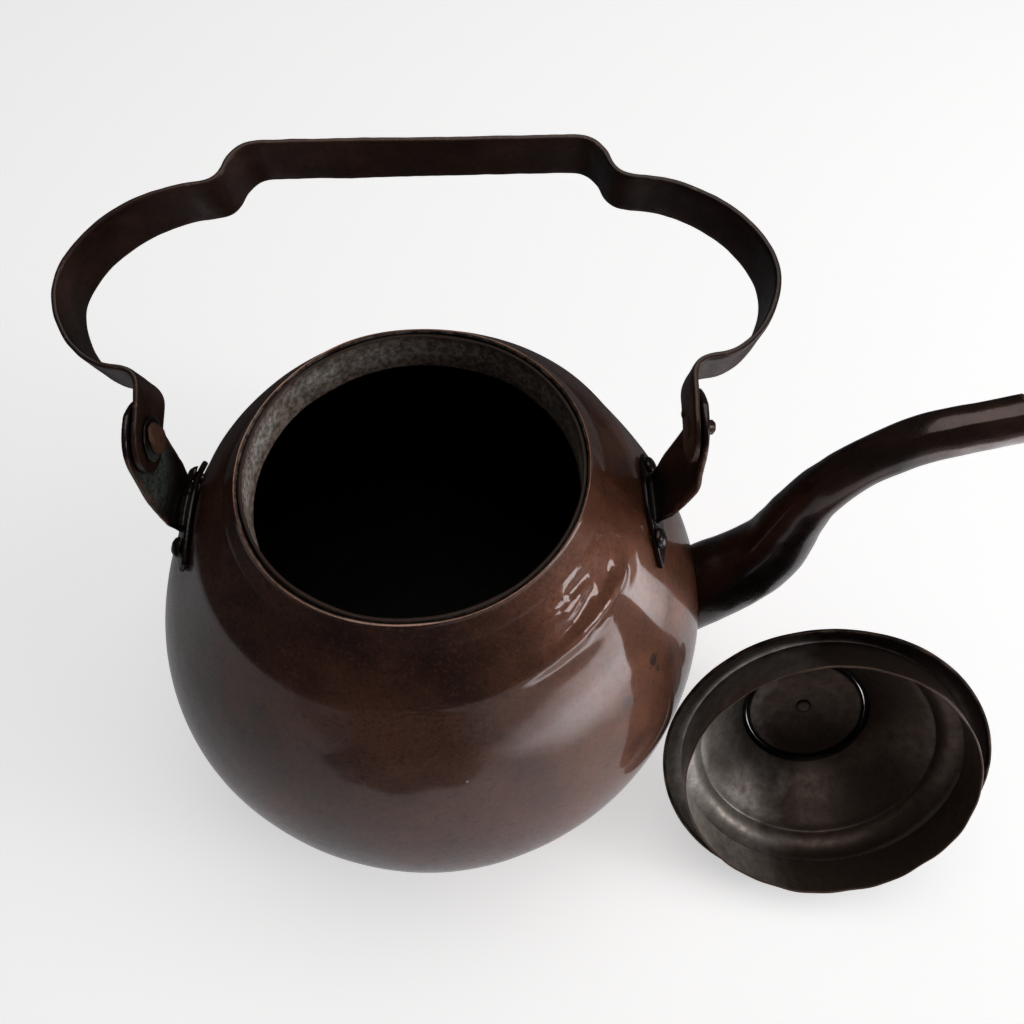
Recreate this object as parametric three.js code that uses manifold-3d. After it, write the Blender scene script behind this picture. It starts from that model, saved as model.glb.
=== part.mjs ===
// Hand-raised copper kettle with riveted ears, a swinging strap bail, a soldered spout and a
// separate lid that stands tilted against the belly. Millimetres, +Z up, origin at the centre of
// the flat bottom, spout towards +X.
import * as THREE from "three";
import { mergeVertices } from "three/addons/utils/BufferGeometryUtils.js";
import Module from "manifold-3d";

const wasm = await Module();
wasm.setup();

// ---- driving dimensions -------------------------------------------------------------------
const BODY_HEIGHT = 172; // table to rim
const BELLY_RADIUS = 118.4;
const BELLY_HEIGHT = 63.7; // widest level above the table
const LOWER_FULLNESS = 20.4; // how far the side stays near upright below the widest level
const UPPER_FULLNESS = 31; // and above it
const BASE_RADIUS = 80;
const BASE_CORNER_REACH = 6.2; // rounded corner at the bottom, beyond the base radius
const BASE_CORNER_RISE = 6;
const BASE_FLARE = [15.2, 11.7]; // the side's way out and up from that corner
const RIDGE_RADIUS = 85.4; // soft edge where the side turns into the shoulder
const RIDGE_DROP = 23.5; // below the rim
const RIDGE_FALL = [10.8, 21.2]; // the side's way out and down from that edge
const NECK_RADIUS = 71;
const NECK_DROP = 8.5;
const RIM_RADIUS = 65;
const WALL = 1.6;
const RIM_EDGE_ROUND = 0.35;
const BAND_HEIGHT = 18; // upright band inside the mouth
const BAND_SHEET = 1.2;
const BAND_DROP = 1; // its upper edge below the rim

const EAR_REACH = 96; // from the bail's middle plane to the inner face of each ear leaf
const BAIL_OFFSET = 4; // the ears sit this far towards the spout
const PIVOT_RISE = 17; // pivot line above the rim
const EAR_THICKNESS = 2.4;
const EAR_LEAF_HALF_WIDTH = 14;
const EAR_LEAF_TOP = 13.2; // above the pivot
const EAR_BEND_DROP = 19; // below the pivot, where the leaf starts to lean inwards
const EAR_STEM_HALF_WIDTH = 13;
const EAR_FOOT_HALF_WIDTH = 10.5;
const WING_REACH = 25; // each foot wing, sideways from the stem's middle
const WING_HALF_HEIGHT = 7.5;
const FOOT_DROP = 31; // middle of the foot below the rim
const FOOT_RIVET_SPREAD = 15.5;
const FOOT_RIVET_RADIUS = 2.1;

const STRAP_WIDTH = 24.5;
const STRAP_THICKNESS = 2.4;
const STRAP_STRAIGHT = 14.2; // straight end above the pivot
const STEP_RISE = 22.5; // outward step above the pivot
const STEP_REACH = 10;
const BAIL_LOOP_REACH = 125.5; // widest part of the loop from the bail's middle
const BAIL_LOOP_RISE = 51;
const SHOULDER_REACH = 82.8; // inner end of each loop, under the grip's step
const SHOULDER_DROP = 16.5;
const GRIP_HALF_LENGTH = 56;
const BAIL_HEIGHT = 105.5; // pivot line to the grip's mid-thickness
const BAIL_LEAN = 68; // degrees from upright, away from the front
const PIN_RADIUS = 3;
const PIN_HEAD_RADIUS = 5.6; // back-side pivot, broad and domed
const FLUSH_HEAD_RADIUS = 4.4; // spout-side pivot, hammered flat
const WASHER_RADIUS = 8.2;
const WASHER_THICKNESS = 1.2;
const STRAP_PIN_RADIUS = 1.2;
const STRAP_PIN_RISE = 7; // above the pivot, along the strap
const STRAP_PIN_ASIDE = 7.5; // off the strap's middle

const SPOUT_ROOT_RADIUS = 18;
const SPOUT_TIP_RADIUS = 8.7;
const SPOUT_TAPER_START = 0.12; // shares of the spout's length
const SPOUT_TAPER_END = 0.72;
const SPOUT_WALL = 1.4;
const SPOUT_REACH = 214; // tip from the kettle's axis
const SPOUT_TIP_RISE = 19; // tip above the rim
// Bends of the spout's middle line: out and up from the belly's widest point, then back and down
// from the tip.
const SPOUT_LOWER_BENDS = [[-18.4, -17.3], [5.5, 9.7], [19, 24.9], [27.6, 41.2]];
const SPOUT_UPPER_BENDS = [[63.7, 62], [58.5, 42.2], [47, 25], [28.8, 10.4]];

const LID_RADIUS = 66.5;
const LID_SHEET = 1.2;
const LID_LIP = 1.4; // turned down at the edge
const LID_COVE_RISE = 4.5;
const LID_COLLAR_RADIUS = 58.5;
const LID_COLLAR_HEIGHT = 14;
const LID_COLLAR_SEAT = 2.6; // the collar's upper end, above the brim
const LID_STEP_RADIUS = 50.5; // raised step inside the collar
const LID_STEP_RISE = 13;
const LID_CROWN_RADIUS = 26;
const LID_CROWN_RISE = 39;
const CROWN_SEAT_DEPTH = 4.2; // the crown disc's edge, below the crown's rise
const CROWN_BULGE = 5;
const KNOB_HEIGHT = 23;
const KNOB_RADIUS = 9.5;
const KNOB_NECK_RADIUS = 4.4;
const KNOB_FOOT_RADIUS = 7.9;
const KNOB_RIVET_RADIUS = 2.4;
const KNOB_LIFT = 0.8; // the knob's foot above the crown's rise
const LID_TILT = 57.4; // degrees between the lid's plane and the table
const LID_FACING = -95.7; // degrees, way the open side looks across the table
const LID_BEARING = -25.4; // degrees, where the lid stands round the kettle
const LEAN_GAP = 0.6; // between the lid's edge and the belly

const GAP = 0.3; // clearance between neighbouring pieces
const AROUND = 52; // facets round the large turned shapes

// ---- helpers ------------------------------------------------------------------------------
const rad = (degrees) => (degrees * Math.PI) / 180;
const v2 = (x, y) => new THREE.Vector2(x, y);
const v3 = (x, y, z) => new THREE.Vector3(x, y, z);

// A closed geometry as a boolean solid.
function solid(geometry) {
  const plain = geometry.index ? geometry.toNonIndexed() : geometry.clone();
  plain.deleteAttribute("normal");
  plain.deleteAttribute("uv");
  const merged = mergeVertices(plain, 1e-4);
  return new wasm.Manifold(
    new wasm.Mesh({
      numProp: 3,
      vertProperties: new Float32Array(merged.attributes.position.array),
      triVerts: new Uint32Array(merged.index.array),
    }),
  );
}

function toGeometry(manifold) {
  const mesh = manifold.getMesh();
  return new THREE.BufferGeometry()
    .setAttribute("position", new THREE.BufferAttribute(mesh.vertProperties, 3))
    .setIndex(new THREE.BufferAttribute(mesh.triVerts, 1));
}

// A profile of (radius, height) points turned round the Z axis.
function turned(points, facets = AROUND) {
  return new THREE.LatheGeometry(points, facets).rotateX(Math.PI / 2);
}

// A round bar along +Z from z0 to z1.
function bar(radius, z0, z1, facets = 24) {
  return turned([v2(0, z0), v2(radius, z0), v2(radius, z1), v2(0, z1)], facets);
}

// The points of a line of (x, y) shifted sideways, to the right of its direction.
function beside(points, distance) {
  return points.map((p, i) => {
    const before = points[Math.max(i - 1, 0)];
    const after = points[Math.min(i + 1, points.length - 1)];
    const along = after.clone().sub(before).normalize();
    return v2(p.x + along.y * distance, p.y - along.x * distance);
  });
}

// Turns a geometry's +Z towards a direction, then moves it.
function aimed(geometry, direction, place) {
  const turn = new THREE.Quaternion().setFromUnitVectors(v3(0, 0, 1), direction.clone().normalize());
  return geometry.applyQuaternion(turn).translate(place.x, place.y, place.z);
}

// ---- kettle body --------------------------------------------------------------------------
// The outside from the middle of the bottom up to the rim.
function bodyOutline() {
  const corner = v2(BASE_RADIUS + BASE_CORNER_REACH, BASE_CORNER_RISE);
  const widest = v2(BELLY_RADIUS, BELLY_HEIGHT);
  const ridge = v2(RIDGE_RADIUS, BODY_HEIGHT - RIDGE_DROP);
  const foot = new THREE.QuadraticBezierCurve(v2(BASE_RADIUS - 3, 0), v2(BASE_RADIUS + 1, 0), corner);
  const lower = new THREE.CubicBezierCurve(
    corner,
    v2(corner.x + BASE_FLARE[0], corner.y + BASE_FLARE[1]),
    v2(widest.x, widest.y - LOWER_FULLNESS),
    widest,
  );
  const upper = new THREE.CubicBezierCurve(
    widest,
    v2(widest.x, widest.y + UPPER_FULLNESS),
    v2(ridge.x + RIDGE_FALL[0], ridge.y - RIDGE_FALL[1]),
    ridge,
  );
  const shoulder = new THREE.QuadraticBezierCurve(
    ridge,
    v2(ridge.x - 4, ridge.y + 5.5),
    v2(NECK_RADIUS, BODY_HEIGHT - NECK_DROP),
  );
  return [
    v2(0, 0),
    ...foot.getPoints(3),
    ...lower.getPoints(6).slice(1),
    ...upper.getPoints(7).slice(1),
    ...shoulder.getPoints(4).slice(1),
    v2(RIM_RADIUS, BODY_HEIGHT),
  ];
}

// The outside profile's radius at a height on the side.
function bodyRadiusAt(height) {
  const line = bodyOutline().slice(1);
  const i = line.findIndex((p, k) => k > 0 && p.y >= height && line[k - 1].y < height);
  const t = (height - line[i - 1].y) / (line[i].y - line[i - 1].y);
  return line[i - 1].x + t * (line[i].x - line[i - 1].x);
}

// Everything inside the body's outside, grown by a distance: used to cut neighbours to its form.
function bodyBlank(grow) {
  const outline = beside(bodyOutline(), grow);
  outline[0].x = 0;
  return turned([...outline, v2(0, outline[outline.length - 1].y)]);
}

// A thin layer over the body's side, between two distances from it.
function bodyLayer(near, far) {
  const line = bodyOutline().filter((p) => p.y > BELLY_HEIGHT);
  return turned([...beside(line, far), ...beside(line, near).reverse(), beside(line, far)[0]]);
}

function makeBody() {
  const outside = bodyOutline();
  const inside = beside(outside, -WALL).reverse();
  inside[inside.length - 1].x = 0;
  const top = v2(RIM_RADIUS - 0.5 * WALL, BODY_HEIGHT + RIM_EDGE_ROUND);
  let shell = solid(turned([...outside, top, ...inside]));
  shell = shell.subtract(solid(spoutBore()));
  for (const side of [-1, 1]) {
    for (const wing of [-1, 1]) {
      shell = shell.subtract(solid(footRivetHole(side, wing)));
    }
  }
  return shell;
}

// The upright band soldered inside the mouth, which steadies the lid's collar.
function makeMouthBand() {
  const outer = RIM_RADIUS - WALL - GAP;
  const inner = outer - BAND_SHEET;
  const top = BODY_HEIGHT - BAND_DROP;
  const low = top - BAND_HEIGHT;
  return turned([v2(inner, low), v2(outer, low), v2(outer, top), v2(inner, top), v2(inner, low)]);
}

// ---- spout --------------------------------------------------------------------------------
// The spout's middle line in the plane of the ears.
function spoutPath() {
  const tip = v3(SPOUT_REACH, 0, BODY_HEIGHT + SPOUT_TIP_RISE);
  return new THREE.CatmullRomCurve3([
    ...SPOUT_LOWER_BENDS.map(([out, up]) => v3(BELLY_RADIUS + out, 0, BELLY_HEIGHT + up)),
    ...SPOUT_UPPER_BENDS.map(([back, down]) => v3(tip.x - back, 0, tip.z - down)),
    tip,
  ]);
}

// The outside radius, wide at the belly and slim after the bend.
function spoutRadius(along) {
  const slim = THREE.MathUtils.smoothstep(along, SPOUT_TAPER_START, SPOUT_TAPER_END);
  return THREE.MathUtils.lerp(SPOUT_ROOT_RADIUS, SPOUT_TIP_RADIUS, slim);
}

// A turned shape bent along the spout's path: height runs from 0 to 1 along it.
function bentAlongSpout(profile, facets) {
  const path = spoutPath();
  const shape = turned(profile, facets);
  const position = shape.attributes.position;
  const across = v3(0, 1, 0);
  for (let i = 0; i < position.count; i++) {
    const share = THREE.MathUtils.clamp(position.getZ(i), 0, 1);
    const tangent = path.getTangentAt(share);
    const up = across.clone().cross(tangent).normalize();
    const place = path.getPointAt(share);
    place.addScaledVector(up, position.getX(i)).addScaledVector(across, position.getY(i));
    position.setXYZ(i, place.x, place.y, place.z);
  }
  return shape;
}

function makeSpout() {
  const stations = Array.from({ length: 17 }, (_, i) => i / 16);
  const outside = stations.map((s) => v2(spoutRadius(s), s));
  const inside = stations.map((s) => v2(spoutRadius(s) - SPOUT_WALL, s)).reverse();
  const tube = solid(bentAlongSpout([...outside, ...inside, outside[0].clone()], 26));
  return tube.subtract(solid(bodyBlank(GAP)));
}

// The way through the body's wall into the spout.
function spoutBore() {
  const stations = Array.from({ length: 7 }, (_, i) => i / 16);
  const bore = stations.map((s) => v2(spoutRadius(s) - SPOUT_WALL - 0.4, s));
  return bentAlongSpout([v2(0, 0), ...bore, v2(0, stations[stations.length - 1])], 32);
}

// ---- ears ---------------------------------------------------------------------------------
const PIVOT_HEIGHT = BODY_HEIGHT + PIVOT_RISE;
const FOOT_HEIGHT = BODY_HEIGHT - FOOT_DROP;

// The flat leaf and stem seen from the side, sideways and upwards.
function leafShape() {
  const top = PIVOT_HEIGHT + EAR_LEAF_TOP;
  const bend = PIVOT_HEIGHT - EAR_BEND_DROP;
  const shape = new THREE.Shape();
  shape.moveTo(-EAR_FOOT_HALF_WIDTH, FOOT_HEIGHT - 4);
  shape.lineTo(EAR_FOOT_HALF_WIDTH, FOOT_HEIGHT - 4);
  shape.lineTo(EAR_FOOT_HALF_WIDTH, FOOT_HEIGHT + 4);
  shape.bezierCurveTo(
    EAR_FOOT_HALF_WIDTH, FOOT_HEIGHT + 9,
    EAR_STEM_HALF_WIDTH, FOOT_HEIGHT + 11,
    EAR_STEM_HALF_WIDTH, bend,
  );
  shape.bezierCurveTo(
    EAR_STEM_HALF_WIDTH, bend + 7,
    EAR_LEAF_HALF_WIDTH, PIVOT_HEIGHT - 9,
    EAR_LEAF_HALF_WIDTH, PIVOT_HEIGHT,
  );
  shape.bezierCurveTo(
    EAR_LEAF_HALF_WIDTH, PIVOT_HEIGHT + 7.5,
    7, top,
    0, top,
  );
  shape.bezierCurveTo(
    -7, top,
    -EAR_LEAF_HALF_WIDTH, PIVOT_HEIGHT + 7.5,
    -EAR_LEAF_HALF_WIDTH, PIVOT_HEIGHT,
  );
  shape.bezierCurveTo(
    -EAR_LEAF_HALF_WIDTH, PIVOT_HEIGHT - 9,
    -EAR_STEM_HALF_WIDTH, bend + 7,
    -EAR_STEM_HALF_WIDTH, bend,
  );
  shape.bezierCurveTo(
    -EAR_STEM_HALF_WIDTH, FOOT_HEIGHT + 11,
    -EAR_FOOT_HALF_WIDTH, FOOT_HEIGHT + 9,
    -EAR_FOOT_HALF_WIDTH, FOOT_HEIGHT + 4,
  );
  shape.closePath();
  return shape;
}

// The foot's two leaf-shaped wings seen from the side.
function wingShape() {
  const shape = new THREE.Shape();
  shape.moveTo(-WING_REACH, FOOT_HEIGHT - 1);
  for (const side of [-1, 1]) {
    const tip = side * WING_REACH;
    const h = FOOT_HEIGHT;
    if (side < 0) {
      shape.bezierCurveTo(tip + 5, h - WING_HALF_HEIGHT, -9, h - WING_HALF_HEIGHT, 0, h - 6);
    } else {
      shape.bezierCurveTo(9, h - WING_HALF_HEIGHT, tip - 5, h - WING_HALF_HEIGHT, tip, h - 1);
    }
  }
  const rise = FOOT_HEIGHT + WING_HALF_HEIGHT - 1;
  shape.bezierCurveTo(WING_REACH - 6, rise, 9, rise - 1, 0, FOOT_HEIGHT + 5);
  shape.bezierCurveTo(-9, rise - 1, -WING_REACH + 6, rise, -WING_REACH, FOOT_HEIGHT - 1);
  return shape;
}

// A flat outline in the Y-Z plane, given thickness from x0 to x1.
function slabAcrossX(shape, x0, x1) {
  const slab = new THREE.ExtrudeGeometry(shape, { depth: x1 - x0, bevelEnabled: false, curveSegments: 8 });
  return slab.rotateX(Math.PI / 2).rotateZ(Math.PI / 2).translate(x0, 0, 0);
}

// The bent strip the leaf is cut from: up from the foot, leaning out, then upright at the pivot.
function stemStrip(side) {
  const foot = bodyRadiusAt(FOOT_HEIGHT) + GAP;
  const face = EAR_REACH + side * BAIL_OFFSET;
  const line = [
    v2(foot - 0.5, FOOT_HEIGHT - 6),
    v2(foot - 0.5, FOOT_HEIGHT + 1),
    v2(foot + 0.35 * (face - foot), FOOT_HEIGHT + 10),
    v2(face, PIVOT_HEIGHT - EAR_BEND_DROP - 1),
    v2(face, PIVOT_HEIGHT + EAR_LEAF_TOP + 2),
  ];
  const shape = new THREE.Shape([...line, ...beside(line, EAR_THICKNESS).reverse()]);
  const depth = 2 * EAR_LEAF_HALF_WIDTH + 4;
  const strip = new THREE.ExtrudeGeometry(shape, { depth, bevelEnabled: false });
  strip.rotateX(Math.PI / 2).translate(0, 0.5 * depth, 0);
  return side > 0 ? strip : strip.rotateZ(Math.PI);
}

// Where a foot rivet crosses the body's side, and the way out of the wall there.
function footRivetSeat(side, wing) {
  const radius = bodyRadiusAt(FOOT_HEIGHT);
  const y = wing * FOOT_RIVET_SPREAD;
  const x = side * Math.sqrt(radius * radius - y * y);
  const slope = (bodyRadiusAt(FOOT_HEIGHT - 3) - bodyRadiusAt(FOOT_HEIGHT + 3)) / 6;
  return { place: v3(x, y, FOOT_HEIGHT), out: v3(x / radius, y / radius, slope).normalize() };
}

function footRivetHole(side, wing) {
  const seat = footRivetSeat(side, wing);
  return aimed(bar(FOOT_RIVET_RADIUS + GAP, -9, 9, 20), seat.out, seat.place);
}

function makeEar(side) {
  const reach = side > 0 ? [60, 130] : [-130, -60];
  const foot = solid(bodyLayer(GAP, GAP + EAR_THICKNESS)).intersect(
    solid(slabAcrossX(wingShape(), ...reach)),
  );
  const leaf = solid(stemStrip(side)).intersect(solid(slabAcrossX(leafShape(), ...reach)));
  let ear = leaf.subtract(solid(bodyBlank(GAP))).add(foot);
  for (const wing of [-1, 1]) {
    ear = ear.subtract(solid(footRivetHole(side, wing)));
  }
  const pinHole = bar(PIN_RADIUS + GAP, -12, 12, 24);
  const centre = v3(BAIL_OFFSET + side * EAR_REACH, 0, PIVOT_HEIGHT);
  return ear.subtract(solid(aimed(pinHole, v3(1, 0, 0), centre)));
}

// A rivet with a domed head outside and a flat tail inside.
function makeFootRivet(side, wing) {
  const seat = footRivetSeat(side, wing);
  const head = GAP + EAR_THICKNESS + GAP;
  const tail = -WALL - GAP;
  const r = FOOT_RIVET_RADIUS;
  const profile = [
    v2(0, tail - 1.1),
    v2(1.5 * r, tail - 1.1),
    v2(1.7 * r, tail - 0.15),
    v2(r, tail - 0.15),
    v2(r, head + 0.15),
    v2(2 * r, head + 0.15),
    v2(1.75 * r, head + 1.2),
    v2(1.1 * r, head + 2),
    v2(0, head + 2.3),
  ];
  return aimed(turned(profile, 16), seat.out, seat.place);
}

// ---- bail ---------------------------------------------------------------------------------
// Half of the strap's middle line, from the end below the pivot to the middle of the grip.
function bailHalfLine() {
  const end = EAR_REACH - GAP - 0.5 * STRAP_THICKNESS;
  const top = BAIL_HEIGHT;
  const under = top - SHOULDER_DROP;
  const [loop, widest] = [BAIL_LOOP_REACH, BAIL_LOOP_RISE];
  const [shoulder, grip] = [SHOULDER_REACH, GRIP_HALF_LENGTH];
  const step = end + STEP_REACH;
  const line = new THREE.Path();
  line.moveTo(end, -0.5 * STRAP_WIDTH);
  line.lineTo(end, STRAP_STRAIGHT);
  line.bezierCurveTo(end + 0.2, STEP_RISE - 2, end + 3, STEP_RISE - 0.4, step, STEP_RISE);
  line.bezierCurveTo(step + 10, STEP_RISE + 1.5, loop - 0.5, widest - 15, loop, widest);
  line.bezierCurveTo(loop - 0.5, widest + 15, loop - 18, under - 4, shoulder, under);
  line.bezierCurveTo(shoulder - 7.5, under + 1, shoulder - 12.5, under + 0.5, grip + 12, top - 7);
  line.bezierCurveTo(grip + 8, top - 1, grip + 5, top, grip, top);
  return line.getPoints(7);
}

// The whole bail upright over the pivot line, in the frame of the bail.
function bailBlank() {
  const half = bailHalfLine();
  const mirrored = half.map((p) => v2(-p.x, p.y)).reverse();
  const line = [...half, ...mirrored];
  const shape = new THREE.Shape([
    ...beside(line, 0.5 * STRAP_THICKNESS),
    ...beside(line, -0.5 * STRAP_THICKNESS).reverse(),
  ]);
  const strap = new THREE.ExtrudeGeometry(shape, { depth: STRAP_WIDTH, bevelEnabled: false });
  return strap.rotateX(Math.PI / 2).translate(0, 0.5 * STRAP_WIDTH, 0);
}

// Rounds both ends of the strap off about the pivot.
function endRounding(side) {
  const r = 0.5 * STRAP_WIDTH;
  const corner = new THREE.Shape();
  corner.moveTo(-r - 1, -r - 1);
  corner.lineTo(r + 1, -r - 1);
  corner.lineTo(r + 1, 0);
  corner.lineTo(r, 0);
  corner.absarc(0, 0, r, 0, -Math.PI, true);
  corner.lineTo(-r - 1, 0);
  corner.closePath();
  const x = side * EAR_REACH;
  return slabAcrossX(corner, x - 8, x + 8);
}

// Leans a geometry back with the bail and lifts it to the pivot line.
function onBail(geometry) {
  return geometry.rotateX(-rad(BAIL_LEAN)).translate(BAIL_OFFSET, 0, PIVOT_HEIGHT);
}

function makeStrap() {
  let strap = solid(bailBlank());
  for (const side of [-1, 1]) {
    strap = strap.subtract(solid(endRounding(side)));
    const hole = aimed(bar(PIN_RADIUS + GAP, -9, 9), v3(1, 0, 0), v3(side * EAR_REACH, 0, 0));
    strap = strap.subtract(solid(hole));
  }
  const pinHole = aimed(bar(STRAP_PIN_RADIUS + GAP, -6, 6, 16), v3(1, 0, 0), strapPinPlace());
  return onBail(toGeometry(strap.subtract(solid(pinHole))));
}

// A small pin through the strap just above the spout-side pivot.
function strapPinPlace() {
  return v3(EAR_REACH - GAP - 0.5 * STRAP_THICKNESS, STRAP_PIN_ASIDE, STRAP_PIN_RISE);
}

function makeStrapPin() {
  const half = 0.5 * STRAP_THICKNESS;
  const r = STRAP_PIN_RADIUS;
  const profile = [
    v2(0, -half - 1.5),
    v2(1.35 * r, -half - 1.2),
    v2(1.75 * r, -half - GAP),
    v2(r, -half - GAP),
    v2(r, half - 0.1),
    v2(0, half - 0.1),
  ];
  return onBail(aimed(turned(profile, 16), v3(1, 0, 0), strapPinPlace()));
}

// A pivot rivet along the hinge line. The back side has a broad head over a washer; the spout
// side is hammered flat straight on the strap. Both have a small end outside the ear.
function makePivotPin(side) {
  const strapInside = EAR_REACH - GAP - STRAP_THICKNESS;
  const broad = side < 0;
  const headFace = strapInside - GAP - (broad ? WASHER_THICKNESS + GAP : 0);
  const headHeight = broad ? 2.6 : 0.9;
  const head = broad ? PIN_HEAD_RADIUS : FLUSH_HEAD_RADIUS;
  const end = EAR_REACH + EAR_THICKNESS + GAP;
  const profile = [
    v2(0, headFace - headHeight),
    v2(0.65 * head, headFace - 0.85 * headHeight),
    v2(head, headFace - 0.4 * headHeight),
    v2(head, headFace),
    v2(PIN_RADIUS, headFace),
    v2(PIN_RADIUS, end),
    v2(1.4 * PIN_RADIUS, end),
    v2(1.4 * PIN_RADIUS, end + 1.3),
    v2(0.7 * PIN_RADIUS, end + 2.6),
    v2(0, end + 2.8),
  ];
  return aimed(turned(profile, 24), v3(side, 0, 0), v3(BAIL_OFFSET, 0, PIVOT_HEIGHT));
}

function makePivotWasher(side) {
  const outer = EAR_REACH - 2 * GAP - STRAP_THICKNESS;
  const inner = outer - WASHER_THICKNESS;
  const bore = PIN_RADIUS + GAP;
  const rim = WASHER_RADIUS;
  const profile = [v2(bore, inner), v2(rim, inner), v2(rim, outer), v2(bore, outer), v2(bore, inner)];
  return aimed(turned(profile, 24), v3(side, 0, 0), v3(BAIL_OFFSET, 0, PIVOT_HEIGHT));
}

// ---- lid ----------------------------------------------------------------------------------
// The upper face of the lid from its edge to the crown, brim plane at height 0.
function lidOutline() {
  const collar = LID_COLLAR_RADIUS;
  const step = LID_STEP_RADIUS;
  const crown = LID_CROWN_RADIUS + GAP + 1.8;
  const cove = new THREE.QuadraticBezierCurve(
    v2(LID_RADIUS, 0),
    v2(LID_RADIUS - 3.5, LID_COVE_RISE),
    v2(collar + 1, LID_COVE_RISE),
  );
  const ogee = new THREE.QuadraticBezierCurve(
    v2(collar - 1, LID_COVE_RISE + 0.5),
    v2(step + 1, 0.5 * LID_STEP_RISE),
    v2(step, LID_STEP_RISE),
  );
  const cone = new THREE.QuadraticBezierCurve(
    v2(step - 2.5, LID_STEP_RISE + 1.5),
    v2(0.7 * step, LID_CROWN_RISE - 14),
    v2(crown, LID_CROWN_RISE - 3),
  );
  return [...cove.getPoints(3), ...ogee.getPoints(3), ...cone.getPoints(4)];
}

// The lid's sheet with an inset seat for the crown disc.
function makeLidDome() {
  const outside = lidOutline();
  const inside = beside(outside, -LID_SHEET);
  inside[0] = v2(LID_RADIUS - LID_SHEET, -0.4);
  const seatTop = v2(LID_CROWN_RADIUS + GAP, LID_CROWN_RISE - 2.2);
  const seatFoot = v2(LID_CROWN_RADIUS + GAP, LID_CROWN_RISE - CROWN_SEAT_DEPTH - 0.2);
  const edge = v2(LID_RADIUS, -LID_LIP);
  const hem = v2(LID_RADIUS - LID_SHEET, -LID_LIP);
  return turned([edge, ...outside, seatTop, seatFoot, ...inside.reverse(), hem, edge.clone()], 44);
}

// The upright collar that slips into the mouth.
function makeLidCollar() {
  const outer = LID_COLLAR_RADIUS;
  const inner = outer - LID_SHEET;
  const [low, top] = [-LID_COLLAR_HEIGHT, LID_COLLAR_SEAT];
  return turned([v2(inner, low), v2(outer, low), v2(outer, top), v2(inner, top), v2(inner, low)]);
}

// The disc let into the lid's middle, with the hole for the knob's rivet.
function makeLidCrown() {
  const low = LID_CROWN_RISE - CROWN_SEAT_DEPTH;
  const high = low + CROWN_BULGE;
  const r = LID_CROWN_RADIUS;
  const bore = KNOB_RIVET_RADIUS + GAP;
  const dome = new THREE.QuadraticBezierCurve(v2(r, low + 2), v2(0.6 * r, high - 0.4), v2(bore, high));
  const under = new THREE.QuadraticBezierCurve(
    v2(bore, high - 1.4),
    v2(0.6 * r, high - 1.8),
    v2(r - 1.4, low),
  );
  return turned([v2(r, low), ...dome.getPoints(3), ...under.getPoints(3), v2(r, low)], 36);
}

function makeLidKnob() {
  const foot = LID_CROWN_RISE + KNOB_LIFT + GAP;
  const top = foot + KNOB_HEIGHT;
  const bore = KNOB_RIVET_RADIUS + GAP;
  const outline = new THREE.SplineCurve([
    v2(KNOB_FOOT_RADIUS - 0.3, foot + 1.4),
    v2(KNOB_NECK_RADIUS + 0.2, foot + 0.22 * KNOB_HEIGHT),
    v2(KNOB_NECK_RADIUS, foot + 0.4 * KNOB_HEIGHT),
    v2(KNOB_RADIUS, foot + 0.68 * KNOB_HEIGHT),
    v2(0.86 * KNOB_RADIUS, foot + 0.88 * KNOB_HEIGHT),
    v2(0.35 * KNOB_RADIUS, top),
  ]);
  const socket = foot + 0.5 * KNOB_HEIGHT + GAP;
  const profile = [
    v2(bore, foot),
    v2(KNOB_FOOT_RADIUS, foot),
    ...outline.getPoints(10),
    v2(0, top + 0.3),
    v2(0, socket),
    v2(bore, socket),
  ];
  return turned([...profile, v2(bore, foot)], 24);
}

// The rivet that holds the knob, its head hammered flat inside the lid.
function makeKnobRivet() {
  const end = LID_CROWN_RISE + KNOB_LIFT + GAP + 0.5 * KNOB_HEIGHT;
  const seat = LID_CROWN_RISE - CROWN_SEAT_DEPTH + CROWN_BULGE - 1.4 - GAP;
  const r = KNOB_RIVET_RADIUS;
  const profile = [
    v2(0, seat - 0.8),
    v2(1.3 * r, seat - 0.7),
    v2(1.6 * r, seat - 0.2),
    v2(r, seat - 0.1),
    v2(r, end),
    v2(0, end),
  ];
  return turned(profile, 20);
}

// The least distance, measured outwards, between the belly and the lid's edge.
function edgeClearance(centre, opening) {
  const level = v3(-opening.y, opening.x, 0).normalize();
  const steep = opening.clone().cross(level);
  let least = Infinity;
  for (let i = 0; i < 72; i++) {
    const turn = rad(5 * i);
    const point = centre.clone().addScaledVector(level, LID_RADIUS * Math.cos(turn));
    point.addScaledVector(steep, LID_RADIUS * Math.sin(turn)).addScaledVector(opening, LID_LIP * (i % 2));
    const height = THREE.MathUtils.clamp(point.z, 0.05 * BODY_HEIGHT, 0.99 * BODY_HEIGHT);
    least = Math.min(least, Math.hypot(point.x, point.y) - bodyRadiusAt(height));
  }
  return least;
}

// How the tilted lid stands: lowest edge on the table, one edge against the belly.
function lidPose() {
  const tilt = rad(LID_TILT);
  const face = rad(LID_FACING);
  const opening = v3(Math.cos(face) * Math.sin(tilt), Math.sin(face) * Math.sin(tilt), Math.cos(tilt));
  const height = LID_RADIUS * Math.sin(tilt) + 0.1;
  let near = BELLY_RADIUS;
  let far = BELLY_RADIUS + 2 * LID_RADIUS;
  const centreAt = (distance) => {
    const bearing = rad(LID_BEARING);
    return v3(distance * Math.cos(bearing), distance * Math.sin(bearing), height);
  };
  for (let i = 0; i < 30; i++) {
    const middle = 0.5 * (near + far);
    if (edgeClearance(centreAt(middle), opening) > LEAN_GAP) {
      far = middle;
    } else {
      near = middle;
    }
  }
  return { opening, centre: centreAt(far) };
}

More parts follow.
